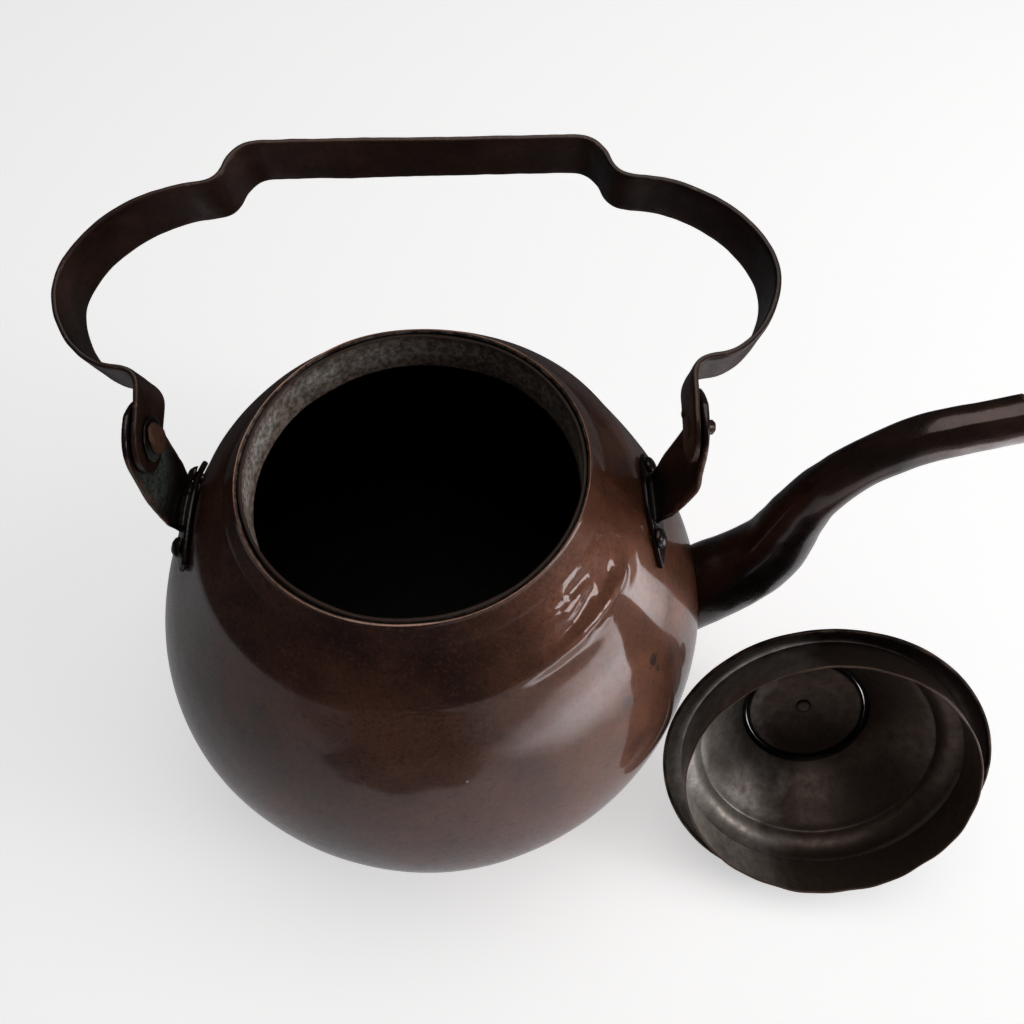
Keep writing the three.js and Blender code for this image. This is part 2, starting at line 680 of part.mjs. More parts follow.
const LID_POSE = lidPose();

function onLid(geometry) {
  return aimed(geometry, LID_POSE.opening.clone().negate(), LID_POSE.centre);
}

// ---- assembly -----------------------------------------------------------------------------
const kettle = new THREE.Group();

function place(name, made, colour) {
  const geometry = made.isBufferGeometry ? made : toGeometry(made);
  const material = new THREE.MeshStandardMaterial({ color: colour, metalness: 1, roughness: 0.4 });
  material.name = name;
  const mesh = new THREE.Mesh(geometry, material);
  mesh.name = name;
  kettle.add(mesh);
}

const COPPER = "#5a3324";
const DARK_COPPER = "#33211b";
const RIVET_COPPER = "#6b4331";
const TINNED = "#6e675f";

place("body_shell", makeBody(), COPPER);
place("mouth_band", makeMouthBand(), TINNED);
place("spout_tube", makeSpout(), DARK_COPPER);
for (const [label, side] of [["spout_side", 1], ["back_side", -1]]) {
  place("ear_" + label, makeEar(side), DARK_COPPER);
  place("foot_rivet_" + label + "_near", makeFootRivet(side, -1), RIVET_COPPER);
  place("foot_rivet_" + label + "_far", makeFootRivet(side, 1), RIVET_COPPER);
  place("pivot_rivet_" + label, makePivotPin(side), RIVET_COPPER);
}
place("pivot_washer_back_side", makePivotWasher(-1), RIVET_COPPER);
place("bail_strap", makeStrap(), DARK_COPPER);
place("bail_pin", makeStrapPin(), RIVET_COPPER);
place("lid_dome", onLid(makeLidDome()), TINNED);
place("lid_collar", onLid(makeLidCollar()), TINNED);
place("lid_crown", onLid(makeLidCrown()), TINNED);
place("lid_knob", onLid(makeLidKnob()), DARK_COPPER);
place("lid_knob_rivet", onLid(makeKnobRivet()), RIVET_COPPER);

export default kettle;
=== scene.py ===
"""Copper kettle with a strap bail and its lid standing against the belly, as seen surfaces.

Lengths inside the shape functions are millimetres; meshes are written in metres.
"""

import math

import bpy
import numpy as np
from mathutils import Matrix, Vector


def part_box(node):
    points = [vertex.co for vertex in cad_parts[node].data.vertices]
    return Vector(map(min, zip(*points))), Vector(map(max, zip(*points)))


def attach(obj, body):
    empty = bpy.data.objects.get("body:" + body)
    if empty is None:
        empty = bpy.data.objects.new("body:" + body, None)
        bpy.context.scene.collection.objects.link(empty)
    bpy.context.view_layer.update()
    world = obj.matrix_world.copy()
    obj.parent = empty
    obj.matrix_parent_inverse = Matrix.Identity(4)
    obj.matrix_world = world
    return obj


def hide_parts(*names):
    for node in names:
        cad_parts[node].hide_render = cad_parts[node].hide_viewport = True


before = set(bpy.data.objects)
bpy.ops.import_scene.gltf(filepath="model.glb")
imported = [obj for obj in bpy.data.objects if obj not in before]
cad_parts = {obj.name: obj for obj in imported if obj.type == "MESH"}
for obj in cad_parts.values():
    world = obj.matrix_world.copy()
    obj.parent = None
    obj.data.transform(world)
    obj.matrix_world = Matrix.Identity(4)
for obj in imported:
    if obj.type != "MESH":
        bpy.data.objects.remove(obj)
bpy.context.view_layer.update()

MM = 0.001


# ---- camera ----
def make_camera():
    """A pinhole at a fixed place, looking steeply down along +Y with a slight roll."""
    pitch, roll = math.radians(55.94), math.radians(-1.14)
    place = Vector((0.0359, -0.1905, 0.4455))
    ahead = Vector((0, math.cos(pitch), -math.sin(pitch)))
    level = Vector((1, 0, 0))
    upright = level.cross(ahead)
    right = math.cos(roll) * level + math.sin(roll) * upright
    up = -math.sin(roll) * level + math.cos(roll) * upright
    data = bpy.data.cameras.new("camera")
    data.sensor_width = 36
    data.lens = 32.34
    data.shift_y = -0.0392
    data.clip_start = 0.01
    camera = bpy.data.objects.new("camera", data)
    turn = Matrix((right, up, -ahead)).transposed().to_4x4()
    camera.matrix_world = Matrix.Translation(place) @ turn
    bpy.context.scene.collection.objects.link(camera)
    bpy.context.scene.camera = camera


make_camera()


# ---- shared shape tools ----
def bezier(*corners, count=16):
    """Points of a Bezier curve: repeated straight blends between its corners."""
    t = np.linspace(0, 1, count)[:, None]
    layer = [np.asarray(c, float)[None] for c in corners]
    while len(layer) > 1:
        layer = [(1 - t) * a + t * b for a, b in zip(layer, layer[1:])]
    return layer[0]


def through(corners, count):
    """Uniform Catmull-Rom curve through its corners: each span is a cubic of four neighbours."""
    c = np.asarray(corners, float)
    s = np.linspace(0, len(c) - 1, count)
    i = np.minimum(s.astype(int), len(c) - 2)
    t = (s - i)[:, None]
    p0, p1 = c[np.maximum(i - 1, 0)], c[i]
    p2, p3 = c[i + 1], c[np.minimum(i + 2, len(c) - 1)]
    v0, v1 = 0.5 * (p2 - p0), 0.5 * (p3 - p1)
    cubic = (2 * p1 - 2 * p2 + v0 + v1) * t**3
    return cubic + (-3 * p1 + 3 * p2 - 2 * v0 - v1) * t**2 + v0 * t + p1


def respaced(line, count=None, step=None):
    """The same line with points at equal distances along it."""
    d = np.r_[0, np.cumsum(np.linalg.norm(np.diff(line, axis=0), axis=1))]
    count = count or max(2, int(round(d[-1] / step)) + 1)
    at = np.linspace(0, d[-1], count)
    return np.stack([np.interp(at, d, line[:, k]) for k in range(line.shape[1])], 1)


def eased(line, reach):
    """A line smoothed by a bell-weighted average over reach points each way, its ends held."""
    bell = np.hanning(2 * reach + 3)[1:-1]
    bell = bell / bell.sum()
    padded = np.concatenate([np.repeat(line[:1], reach, 0), line, np.repeat(line[-1:], reach, 0)])
    out = np.stack([np.convolve(padded[:, j], bell, "valid") for j in range(line.shape[1])], 1)
    out[0], out[-1] = line[0], line[-1]
    return out


def side_of(line):
    """Unit normals of a flat line, to the right of its direction."""
    t = np.gradient(line, axis=0)
    t /= np.linalg.norm(t, axis=1)[:, None] + 1e-12
    return np.stack([t[:, 1], -t[:, 0]], 1)


def waves(points, length, seed, count=22):
    """Smooth random field about -1 to 1: a sum of plane waves near one wavelength."""
    rng = np.random.default_rng(seed)
    way = rng.normal(size=(count, 3))
    way /= np.linalg.norm(way, axis=1)[:, None]
    size = 2 * np.pi / (length * rng.uniform(0.7, 1.5, count))
    phase = rng.uniform(0, 2 * np.pi, count)
    total = np.zeros(points.shape[:-1])
    for k in range(count):
        total += np.cos(points @ (way[k] * size[k]) + phase[k])
    return total / math.sqrt(count)


def normals_of(rows):
    """Unit normals of a grid of points: the cross product of its two directions, rows closed."""
    across = np.roll(rows, -1, 1) - np.roll(rows, 1, 1)
    n = np.cross(np.gradient(rows, axis=0), across)
    return n / (np.linalg.norm(n, axis=2)[..., None] + 1e-12)


def skin(rows, wrapped=False):
    """Vertices and faces of a grid closed round its rows: ends meet, or close on a middle point."""
    m, n = rows.shape[:2]
    verts = rows.reshape(-1, 3)
    i, j = np.meshgrid(np.arange(m if wrapped else m - 1), np.arange(n), indexing="ij")
    a, b = i * n + j, i * n + (j + 1) % n
    c, d = ((i + 1) % m) * n + (j + 1) % n, ((i + 1) % m) * n + j
    quads = np.stack([a, b, c, d], -1).reshape(-1, 4)
    fans = np.zeros((0, 3), int)
    if not wrapped:
        verts = np.concatenate([verts, rows[0].mean(0)[None], rows[-1].mean(0)[None]])
        k = np.arange(n)
        first = np.stack([np.full(n, m * n), (k + 1) % n, k], 1)
        last = (m - 1) * n
        second = np.stack([np.full(n, m * n + 1), last + k, last + (k + 1) % n], 1)
        fans = np.concatenate([first, second])
    tris = np.concatenate([quads[:, [0, 1, 2]], quads[:, [0, 2, 3]], fans])
    v = verts[tris]
    if np.einsum("ij,ij->", v[:, 0], np.cross(v[:, 1], v[:, 2])) < 0:
        quads, fans = quads[:, ::-1], fans[:, ::-1]
    return verts, quads, fans


def make_piece(name, shells, material, body, replaced, slot, **marks):
    """One mesh object from closed skins, with per-vertex marks, ridden on its body."""
    verts = np.concatenate([s[0] for s in shells]) * MM
    faces, base = [], 0
    for v, quads, fans in shells:
        faces += (quads + base).tolist() + (fans + base).tolist()
        base += len(v)
    mesh = bpy.data.meshes.new(name)
    mesh.from_pydata(verts.tolist(), [], faces)
    mesh.polygons.foreach_set("use_smooth", np.ones(len(faces), bool))
    for mark, values in marks.items():
        layer = mesh.attributes.new(mark, "FLOAT", "POINT")
        full = np.zeros(len(verts), np.float32)
        values = np.asarray(values, np.float32).ravel()
        full[: len(values)] = values
        layer.data.foreach_set("value", full)
    mesh.update()
    mesh.materials.append(material)
    piece = bpy.data.objects.new(name, mesh)
    bpy.context.scene.collection.objects.link(piece)
    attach(piece, body)
    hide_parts(*replaced)
    return piece


def turned(profile, count):
    """Rows of a turned shape: each profile point (radius, height) carried round the Z axis."""
    a = np.linspace(0, 2 * np.pi, count, endpoint=False)
    ring = np.stack([np.cos(a), np.sin(a)], 1)
    xy = profile[:, None, :1] * ring[None]
    z = np.broadcast_to(profile[:, None, 1:], xy.shape[:2] + (1,))
    return np.concatenate([xy, z], 2)


def strip(path, across, face, width, thickness, count, squareness=5.0):
    """A flat bar: a squared oval carried along a path; also how near its edge each point is."""
    a = np.linspace(0, 2 * np.pi, count, endpoint=False)
    c, s = np.cos(a), np.sin(a)
    x = np.sign(c) * np.abs(c) ** (2 / squareness)
    y = np.sign(s) * np.abs(s) ** (2 / squareness)
    width = np.broadcast_to(np.asarray(width, float), (len(path),))
    thickness = np.broadcast_to(np.asarray(thickness, float), (len(path),))
    rows = path[:, None] + 0.5 * width[:, None, None] * x[None, :, None] * across[:, None]
    return rows + 0.5 * thickness[:, None, None] * y[None, :, None] * face[:, None], np.abs(x)


# ---- sizes shared with the solid model ----
BODY_HEIGHT, BELLY_RADIUS, BELLY_HEIGHT, BASE_RADIUS = 172.0, 118.4, 63.7, 80.0
BASE_CORNER, BASE_FLARE = (6.2, 6.0), (15.2, 11.7)
LOWER_FULLNESS, UPPER_FULLNESS = 20.4, 31.0
RIDGE_RADIUS, RIDGE_DROP, RIDGE_FALL = 85.4, 23.5, (10.8, 21.2)
NECK_RADIUS, NECK_DROP, RIM_RADIUS, WALL = 71.0, 8.5, 65.0, 1.6
BAND_HEIGHT, BAND_SHEET, BAND_DROP = 18.0, 1.2, 1.0
GAP = 0.3
BODY_STEPS, LID_STEPS = 300, 260  # points round each turned shape


def centre_of(node):
    """The middle of a solid's box, in millimetres."""
    low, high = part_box(node)
    return (np.array(low) + np.array(high)) / 2 / MM


PIVOT_HEIGHT = centre_of("pivot_rivet_spout_side")[2]
PIVOT_TAIL = 5.5  # a pivot rivet's outer end stands this far past its ear's inner face
EAR_FACES = {}
for label, side in (("spout_side", 1), ("back_side", -1)):
    low, high = (np.array(v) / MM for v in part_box("pivot_rivet_" + label))
    EAR_FACES[label] = high[0] - PIVOT_TAIL if side > 0 else low[0] + PIVOT_TAIL
BAIL_MIDDLE = 0.5 * (EAR_FACES["spout_side"] + EAR_FACES["back_side"])
EAR_REACH = 0.5 * (EAR_FACES["spout_side"] - EAR_FACES["back_side"])


# ---- finishes ----
def new_group(name, inputs, outputs):
    """An empty node group with the given sockets, its inlet and its outlet."""
    group = bpy.data.node_groups.new(name, "ShaderNodeTree")
    for label, kind, value in inputs:
        socket = group.interface.new_socket(label, in_out="INPUT", socket_type=kind)
        socket.default_value = value
    for label, kind in outputs:
        group.interface.new_socket(label, in_out="OUTPUT", socket_type=kind)
    return group, group.nodes.new("NodeGroupInput"), group.nodes.new("NodeGroupOutput")


def noise(tree, coords, scale, detail, rough, distortion=0.0):
    """A cloudy pattern from 0 to 1, its clouds about one over scale metres wide."""
    node = tree.nodes.new("ShaderNodeTexNoise")
    node.inputs["Scale"].default_value = scale
    node.inputs["Detail"].default_value = detail
    node.inputs["Roughness"].default_value = rough
    node.inputs["Distortion"].default_value = distortion
    tree.links.new(coords, node.inputs["Vector"])
    return node.outputs["Fac"]


def spread(tree, value, low, high, out_low=0.0, out_high=1.0):
    """A value's range low to high stretched onto out_low to out_high, and held there."""
    node = tree.nodes.new("ShaderNodeMapRange")
    node.inputs["From Min"].default_value = low
    node.inputs["From Max"].default_value = high
    node.inputs["To Min"].default_value = out_low
    node.inputs["To Max"].default_value = out_high
    tree.links.new(value, node.inputs["Value"])
    return node.outputs["Result"]


def maths(tree, operation, a, b=0):
    """One operation on numbers or sockets; b is left out where it takes only one."""
    node = tree.nodes.new("ShaderNodeMath")
    node.operation = operation
    for socket, value in zip(node.inputs, (a, b)):
        if isinstance(value, (int, float)):
            socket.default_value = value
        else:
            tree.links.new(value, socket)
    return node.outputs["Value"]


def plus(tree, a, b):
    """The sum of two numbers or sockets."""
    return maths(tree, "ADD", a, b)


def times(tree, a, b):
    """The product of two numbers or sockets."""
    return maths(tree, "MULTIPLY", a, b)


def blend_colours(tree, factor, a, b):
    """Colour a where the factor is 0, b where it is 1."""
    node = tree.nodes.new("ShaderNodeMix")
    node.data_type = "RGBA"
    for socket, value in ((node.inputs["Factor"], factor), (node.inputs["A"], a), (node.inputs["B"], b)):
        if isinstance(value, tuple):
            socket.default_value = (*value, 1)
        else:
            tree.links.new(value, socket)
    return node.outputs["Result"]


def place_on_piece(tree):
    """The place of each point in metres, whole and as its x, y and z."""
    place = tree.nodes.new("ShaderNodeTexCoord").outputs["Object"]
    parts = tree.nodes.new("ShaderNodeSeparateXYZ")
    tree.links.new(place, parts.inputs["Vector"])
    return place, parts.outputs["X"], parts.outputs["Y"], parts.outputs["Z"]


def distance_from(tree, place, spot):
    """How far each point lies, in metres, from a spot given in millimetres."""
    away = tree.nodes.new("ShaderNodeVectorMath")
    away.operation = "DISTANCE"
    away.inputs[1].default_value = [v * MM for v in spot]
    tree.links.new(place, away.inputs[0])
    return away.outputs["Value"]


def patina_group():
    """Aged copper: dark and warm clouds, fine dark speckle, pale haze, and worn bright edges."""
    group, inlet, outlet = new_group(
        "aged_copper",
        [
            ("Dark", "NodeSocketColor", (0.02, 0.01, 0.008, 1)),
            ("Warm", "NodeSocketColor", (0.12, 0.05, 0.03, 1)),
            ("Worn", "NodeSocketColor", (0.5, 0.2, 0.1, 1)),
            ("Warmth", "NodeSocketFloat", 0.5),
            ("Speckle", "NodeSocketFloat", 0.5),
            ("Edge", "NodeSocketFloat", 0.0),
            ("Polish", "NodeSocketFloat", 0.3),
        ],
        [
            ("Colour", "NodeSocketColor"),
            ("Roughness", "NodeSocketFloat"),
            ("Height", "NodeSocketFloat"),
        ],
    )
    place = group.nodes.new("ShaderNodeTexCoord").outputs["Object"]
    clouds = noise(group, place, 14, 4, 0.6, 0.4)
    blotches = noise(group, place, 55, 4, 0.6)
    fine = noise(group, place, 420, 3, 0.65)
    grain = noise(group, place, 1500, 2, 0.6)
    warm = plus(group, spread(group, clouds, 0.3, 0.7, -0.5, 0.5), inlet.outputs["Warmth"])
    warm = plus(group, warm, spread(group, blotches, 0.3, 0.7, -0.22, 0.22))
    warm = spread(group, warm, 0.0, 1.0)
    colour = blend_colours(group, warm, inlet.outputs["Dark"], inlet.outputs["Warm"])
    specks = times(group, spread(group, fine, 0.54, 0.7), inlet.outputs["Speckle"])
    colour = blend_colours(group, specks, colour, inlet.outputs["Dark"])
    glints = spread(group, grain, 0.66, 0.8, 0.0, 0.16)
    colour = blend_colours(group, glints, colour, inlet.outputs["Worn"])
    ragged = plus(group, inlet.outputs["Edge"], spread(group, fine, 0.3, 0.7, -0.35, 0.35))
    worn = spread(group, ragged, 0.55, 0.95)
    worn = times(group, worn, spread(group, blotches, 0.35, 0.6, 0.35, 1.0))
    colour = blend_colours(group, worn, colour, inlet.outputs["Worn"])
    group.links.new(colour, outlet.inputs["Colour"])
    rough = plus(group, inlet.outputs["Polish"], spread(group, blotches, 0.3, 0.7, -0.05, 0.09))
    rough = plus(group, rough, spread(group, fine, 0.45, 0.75, 0.0, 0.14))
    group.links.new(rough, outlet.inputs["Roughness"])
    coarse = spread(group, fine, 0.3, 0.8, 0.0, 0.7)
    height = plus(group, coarse, spread(group, grain, 0.3, 0.8, 0.0, 0.3))
    group.links.new(height, outlet.inputs["Height"])
    return group


AGED_COPPER = patina_group()


def start_finish(name, metallic, coat, coat_roughness, coat_ior=1.5):
    """A new material with its metal and its clear gloss set."""
    material = bpy.data.materials.new(name)
    material.use_nodes = True
    tree = material.node_tree
    shader = tree.nodes["Principled BSDF"]
    shader.inputs["Metallic"].default_value = metallic
    shader.inputs["Coat Weight"].default_value = coat
    shader.inputs["Coat Roughness"].default_value = coat_roughness
    shader.inputs["Coat IOR"].default_value = coat_ior
    return material, tree, shader


def mark_value(tree, mark):
    """A mark that the piece carries at each of its points."""
    node = tree.nodes.new("ShaderNodeAttribute")
    node.attribute_name = mark
    return node.outputs["Fac"]


GRAIN_DEPTH = 0.0004  # metres


def bumped(tree, shader, height, strength):
    """A fine relief for the shader, from a height between 0 and 1."""
    bump = tree.nodes.new("ShaderNodeBump")
    bump.inputs["Strength"].default_value = strength
    bump.inputs["Distance"].default_value = GRAIN_DEPTH
    tree.links.new(height, bump.inputs["Height"])
    tree.links.new(bump.outputs["Normal"], shader.inputs["Normal"])


def copper_finish(
    name, dark, warm, worn, warmth, speckle, polish, metallic=0.85, coat=0.5, gloss=0.12, bump=0.2
):
    """Aged copper set to one piece's darkness, warmth and polish."""
    material, tree, shader = start_finish(name, metallic, coat, gloss, 1.6)
    patina = tree.nodes.new("ShaderNodeGroup")
    patina.node_tree = AGED_COPPER
    for label, value in (("Dark", dark), ("Warm", warm), ("Worn", worn)):
        patina.inputs[label].default_value = (*value, 1)
    for label, value in (("Warmth", warmth), ("Speckle", speckle), ("Polish", polish)):
        patina.inputs[label].default_value = value
    tree.links.new(mark_value(tree, "edge"), patina.inputs["Edge"])
    tree.links.new(patina.outputs["Colour"], shader.inputs["Base Color"])
    tree.links.new(patina.outputs["Roughness"], shader.inputs["Roughness"])
    bumped(tree, shader, patina.outputs["Height"], bump)
    return material, tree, shader, patina


# stains on the body: middle, radius, strength, colour
STAINS = [
    ((89, -55, 115), 3.4, 0.85, (0.02, 0.016, 0.013)),
    ((89.5, -55, 109), 2.4, 0.8, (0.02, 0.016, 0.013)),
    ((77, -70, 113), 3.2, 0.6, (0.035, 0.03, 0.028)),
    ((-56, -77, 130), 5.0, 0.5, (0.035, 0.036, 0.032)),
    ((18, -99.5, 119), 0.9, 1.0, (0.6, 0.58, 0.55)),
]


def body_finish():
    """The body: aged copper outside, a dull tinned lip inside, painted shade near black below it."""
    material, tree, shader, patina = copper_finish(
        "body_copper", (0.026, 0.011, 0.008), (0.155, 0.058, 0.033), (0.5, 0.24, 0.15), 0.5, 0.6, 0.4,
        metallic=0.6, coat=1.0, gloss=0.07, bump=0.16,
    )
    place, x, y, z = place_on_piece(tree)
    inside = mark_value(tree, "inside")
    mottle = spread(tree, noise(tree, place, 260, 4, 0.7), 0.42, 0.62)
    tin = blend_colours(tree, mottle, (0.05, 0.035, 0.028), (0.26, 0.24, 0.22))
    # Painted shade: the inner wall turns near black below the tinned lip, where the inside of the kettle lies
    # in shade.
    painted_shade_below_lip = spread(tree, z, 0.171, 0.164)
    tin_lip_and_painted_shade = blend_colours(tree, painted_shade_below_lip, tin, (0.008, 0.005, 0.004))
    # Partly painted light: the right front is redder and brighter, the copper's own warmer tone plus painted
    # window light.
    red_tone_and_painted_light = times(tree, spread(tree, x, 0.025, 0.1), spread(tree, y, 0.06, 0.0))
    red_tone_and_painted_light = times(tree, red_tone_and_painted_light, spread(tree, noise(tree, place, 60, 4, 0.6), 0.3, 0.65, 0.35, 0.85))
    outer = blend_colours(tree, red_tone_and_painted_light, patina.outputs["Colour"], (0.34, 0.125, 0.065))
    grain = noise(tree, place, 750, 4, 0.75)
    flecks = spread(tree, grain, 0.54, 0.68, 0.0, 0.4)
    outer = blend_colours(tree, flecks, outer, (0.30, 0.115, 0.06))
    pits = spread(tree, grain, 0.44, 0.32, 0.0, 0.6)
    outer = blend_colours(tree, pits, outer, (0.012, 0.006, 0.005))
    for spot, size, strength, stain in STAINS:
        rag = 0.4 * size * MM
        ragged = plus(tree, distance_from(tree, place, spot), spread(tree, grain, 0.3, 0.7, -rag, rag))
        mask = spread(tree, ragged, size * MM, 0.6 * size * MM, 0.0, strength)
        outer = blend_colours(tree, mask, outer, stain)
    tree.links.new(blend_colours(tree, inside, outer, tin_lip_and_painted_shade), shader.inputs["Base Color"])
    rough = plus(tree, patina.outputs["Roughness"], times(tree, inside, 0.3))
    tree.links.new(rough, shader.inputs["Roughness"])
    outside = maths(tree, "SUBTRACT", 1.0, inside)
    shine = times(tree, spread(tree, grain, 0.35, 0.6, 1.0, 0.72), outside)
    tree.links.new(shine, shader.inputs["Coat Weight"])
    return material


def ear_finish():
    """Ears: dark aged copper, green crust below the back pivot, and a worn edge on the leaf."""
    material, tree, shader, patina = copper_finish(
        "ear_copper", (0.010, 0.007, 0.006), (0.045, 0.024, 0.018), (0.3, 0.16, 0.1), 0.35, 0.5, 0.36,
        metallic=0.7,
    )
    place, _, y, z = place_on_piece(tree)
    away = distance_from(tree, place, (EAR_FACES["back_side"] + 2, -4, PIVOT_HEIGHT - 15))
    crust = spread(tree, noise(tree, place, 600, 4, 0.7), 0.38, 0.6, 0.25, 0.9)
    crust = times(tree, crust, spread(tree, away, 0.020, 0.010))
    colour = blend_colours(tree, crust, patina.outputs["Colour"], (0.15, 0.185, 0.165))
    near_edge = spread(tree, maths(tree, "ABSOLUTE", y), 0.0118, 0.0130)
    rim = times(tree, near_edge, spread(tree, z, (BODY_HEIGHT - 22) * MM, (BODY_HEIGHT - 14) * MM))
    rim = times(tree, rim, spread(tree, noise(tree, place, 260, 3, 0.6), 0.4, 0.6, 0.1, 0.8))
    tree.links.new(blend_colours(tree, rim, colour, (0.20, 0.10, 0.065)), shader.inputs["Base Color"])
    rough = plus(tree, patina.outputs["Roughness"], times(tree, crust, 0.35))
    tree.links.new(rough, shader.inputs["Roughness"])
    shine = maths(tree, "SUBTRACT", 0.5, times(tree, crust, 0.5))
    tree.links.new(shine, shader.inputs["Coat Weight"])
    return material


def tin_finish(name):
    """Old tinning, paler towards one side as painted sheen, with brown clouds and fine speckle, dark outside.
    """
    material, tree, shader = start_finish(name, 0.75, 0.0, 0.2)
    place, x, _, _ = place_on_piece(tree)
    clouds = noise(tree, place, 30, 4, 0.6, 0.5)
    speckle = noise(tree, place, 230, 5, 0.75)
    rub = noise(tree, place, 120, 3, 0.6)
    grey = blend_colours(tree, spread(tree, speckle, 0.4, 0.66), (0.8, 0.75, 0.69), (0.5, 0.44, 0.38))
    brown = spread(tree, clouds, 0.4, 0.75, 0.0, 0.5)
    grey = blend_colours(tree, brown, grey, (0.07, 0.045, 0.034))
    # Painted sheen and shade: the tin is pale grey on the lid's lit left side and dull brown towards its
    # shaded right.
    ragged_x = plus(tree, x, spread(tree, clouds, 0.3, 0.7, -0.012, 0.012))
    painted_sheen_side = spread(tree, ragged_x, 0.158, 0.108)
    dull = spread(tree, speckle, 0.35, 0.65)
    painted_shade_tin = blend_colours(tree, dull, (0.12, 0.082, 0.064), (0.075, 0.052, 0.042))
    grey = blend_colours(tree, painted_sheen_side, painted_shade_tin, grey)
    dark = blend_colours(tree, spread(tree, rub, 0.4, 0.7), (0.006, 0.004, 0.004), (0.02, 0.012, 0.009))
    colour = blend_colours(tree, mark_value(tree, "inside"), dark, grey)
    ragged_edge = plus(tree, mark_value(tree, "edge"), spread(tree, rub, 0.3, 0.7, -0.2, 0.2))
    colour = blend_colours(tree, spread(tree, ragged_edge, 0.6, 0.9), colour, (0.12, 0.075, 0.055))
    tree.links.new(colour, shader.inputs["Base Color"])
    tree.links.new(spread(tree, speckle, 0.35, 0.7, 0.38, 0.5), shader.inputs["Roughness"])
    bumped(tree, shader, speckle, 0.1)
    return material


def band_finish():
    """The mouth's band: rough grey-brown tinning with pale streaks round it, brown by the rim."""
    material, tree, shader = start_finish("band_tinning", 0.12, 0.0, 0.3)
    place, _, _, z = place_on_piece(tree)
    speckle = noise(tree, place, 420, 4, 0.7)
    patches = noise(tree, place, 45, 3, 0.6)
    brown = blend_colours(tree, spread(tree, speckle, 0.4, 0.62), (0.14, 0.10, 0.08), (0.42, 0.34, 0.29))
    grey = blend_colours(tree, spread(tree, speckle, 0.42, 0.6), (0.28, 0.245, 0.21), (0.72, 0.68, 0.62))
    top, low = BODY_HEIGHT - BAND_DROP, BODY_HEIGHT - BAND_DROP - BAND_HEIGHT
    above = spread(tree, z, (low + 3) * MM, (low + 9) * MM)
    streak = times(tree, above, spread(tree, z, (top - 2) * MM, (top - 5) * MM))
    streak = times(tree, streak, spread(tree, patches, 0.38, 0.56, 0.15, 1.0))
    colour = blend_colours(tree, streak, brown, grey)
    colour = blend_colours(tree, mark_value(tree, "edge"), colour, (0.045, 0.024, 0.017))
    tree.links.new(colour, shader.inputs["Base Color"])
    tree.links.new(spread(tree, speckle, 0.3, 0.7, 0.45, 0.7), shader.inputs["Roughness"])
    bumped(tree, shader, speckle, 0.35)
    return material


BODY_COPPER = body_finish()
STRAP_COPPER = copper_finish(
    "bail_copper", (0.02, 0.011, 0.008), (0.11, 0.05, 0.033), (0.33, 0.17, 0.11), 0.4, 0.5, 0.4,
    metallic=0.6, coat=0.3,
)[0]
EAR_COPPER = ear_finish()
SPOUT_COPPER = copper_finish(
    "spout_copper", (0.02, 0.012, 0.010), (0.09, 0.042, 0.029), (0.3, 0.15, 0.09), 0.3, 0.5, 0.26,
    metallic=0.6,
)[0]
RIVET_COPPER = copper_finish(
    "rivet_copper", (0.03, 0.015, 0.01), (0.2, 0.085, 0.05), (0.5, 0.25, 0.15), 0.5, 0.6, 0.38
)[0]
WORN_HEAD = copper_finish(
    "worn_rivet_head", (0.05, 0.025, 0.016), (0.2, 0.095, 0.055), (0.4, 0.22, 0.14), 0.55, 0.8, 0.5,
    metallic=0.5, coat=0.0, bump=0.5,
)[0]
LID_TIN = tin_finish("lid_tinning")
BAND_TIN = band_finish()


# ---- body ----
OUTLINE_STEP = 0.4


def body_outline():
    """Outer half section from bottom middle to rim: foot curve, belly curve, shoulder, neck."""
    h = BODY_HEIGHT
    foot = np.array([BASE_RADIUS + BASE_CORNER[0], BASE_CORNER[1]])
    widest = np.array([BELLY_RADIUS, BELLY_HEIGHT])
    ridge = np.array([RIDGE_RADIUS, h - RIDGE_DROP])
    corner = bezier((BASE_RADIUS - 3, 0), (BASE_RADIUS + 1, 0), foot)
    lower = bezier(foot, foot + BASE_FLARE, widest - (0, LOWER_FULLNESS), widest, count=80)
    upper = bezier(
        widest, widest + (0, UPPER_FULLNESS), ridge + (RIDGE_FALL[0], -RIDGE_FALL[1]), ridge, count=100
    )
    side = np.concatenate([lower, upper[1:]])
    shoulder = bezier(ridge, ridge + (-4, 5.5), (NECK_RADIUS, h - NECK_DROP))
    rim = np.array([(RIM_RADIUS + 0.05, h - 0.6)])
    line = np.concatenate([[(0, 0)], corner, side[1:], shoulder[1:], rim])
    return eased(respaced(line, step=OUTLINE_STEP), 4)


OUTLINE = body_outline()


def body_radius(height):
    """The body's outer radius at a height on its side."""
    side = OUTLINE[np.argmax(OUTLINE[:, 1] > 0.5) :]
    return np.interp(height, side[:, 1], side[:, 0])


# the sheet's unevenness: depth, wavelength, seed
UNEVENNESS = ((0.38, 110, 3), (0.045, 34, 5), (0.02, 13, 8))

# creases on the front right of the shoulder: bearing, height, half length, half width, lean, depth
DENTS = [
    (-45, 150.5, 26, 2.2, 0, -0.8),
    (-47, 154.5, 20, 2.4, 4, 0.8),
    (-36, 157, 9, 2, 12, 0.7),
    (-30, 155, 7, 2, 15, 0.8),
    (-38, 160.5, 8, 1.8, 5, 0.6),
    (-22, 150, 6, 3, 30, 0.9),
    (-52, 146, 14, 3, -6, 0.5),
    (-6, 158, 9, 3.5, 85, 1.6),
]


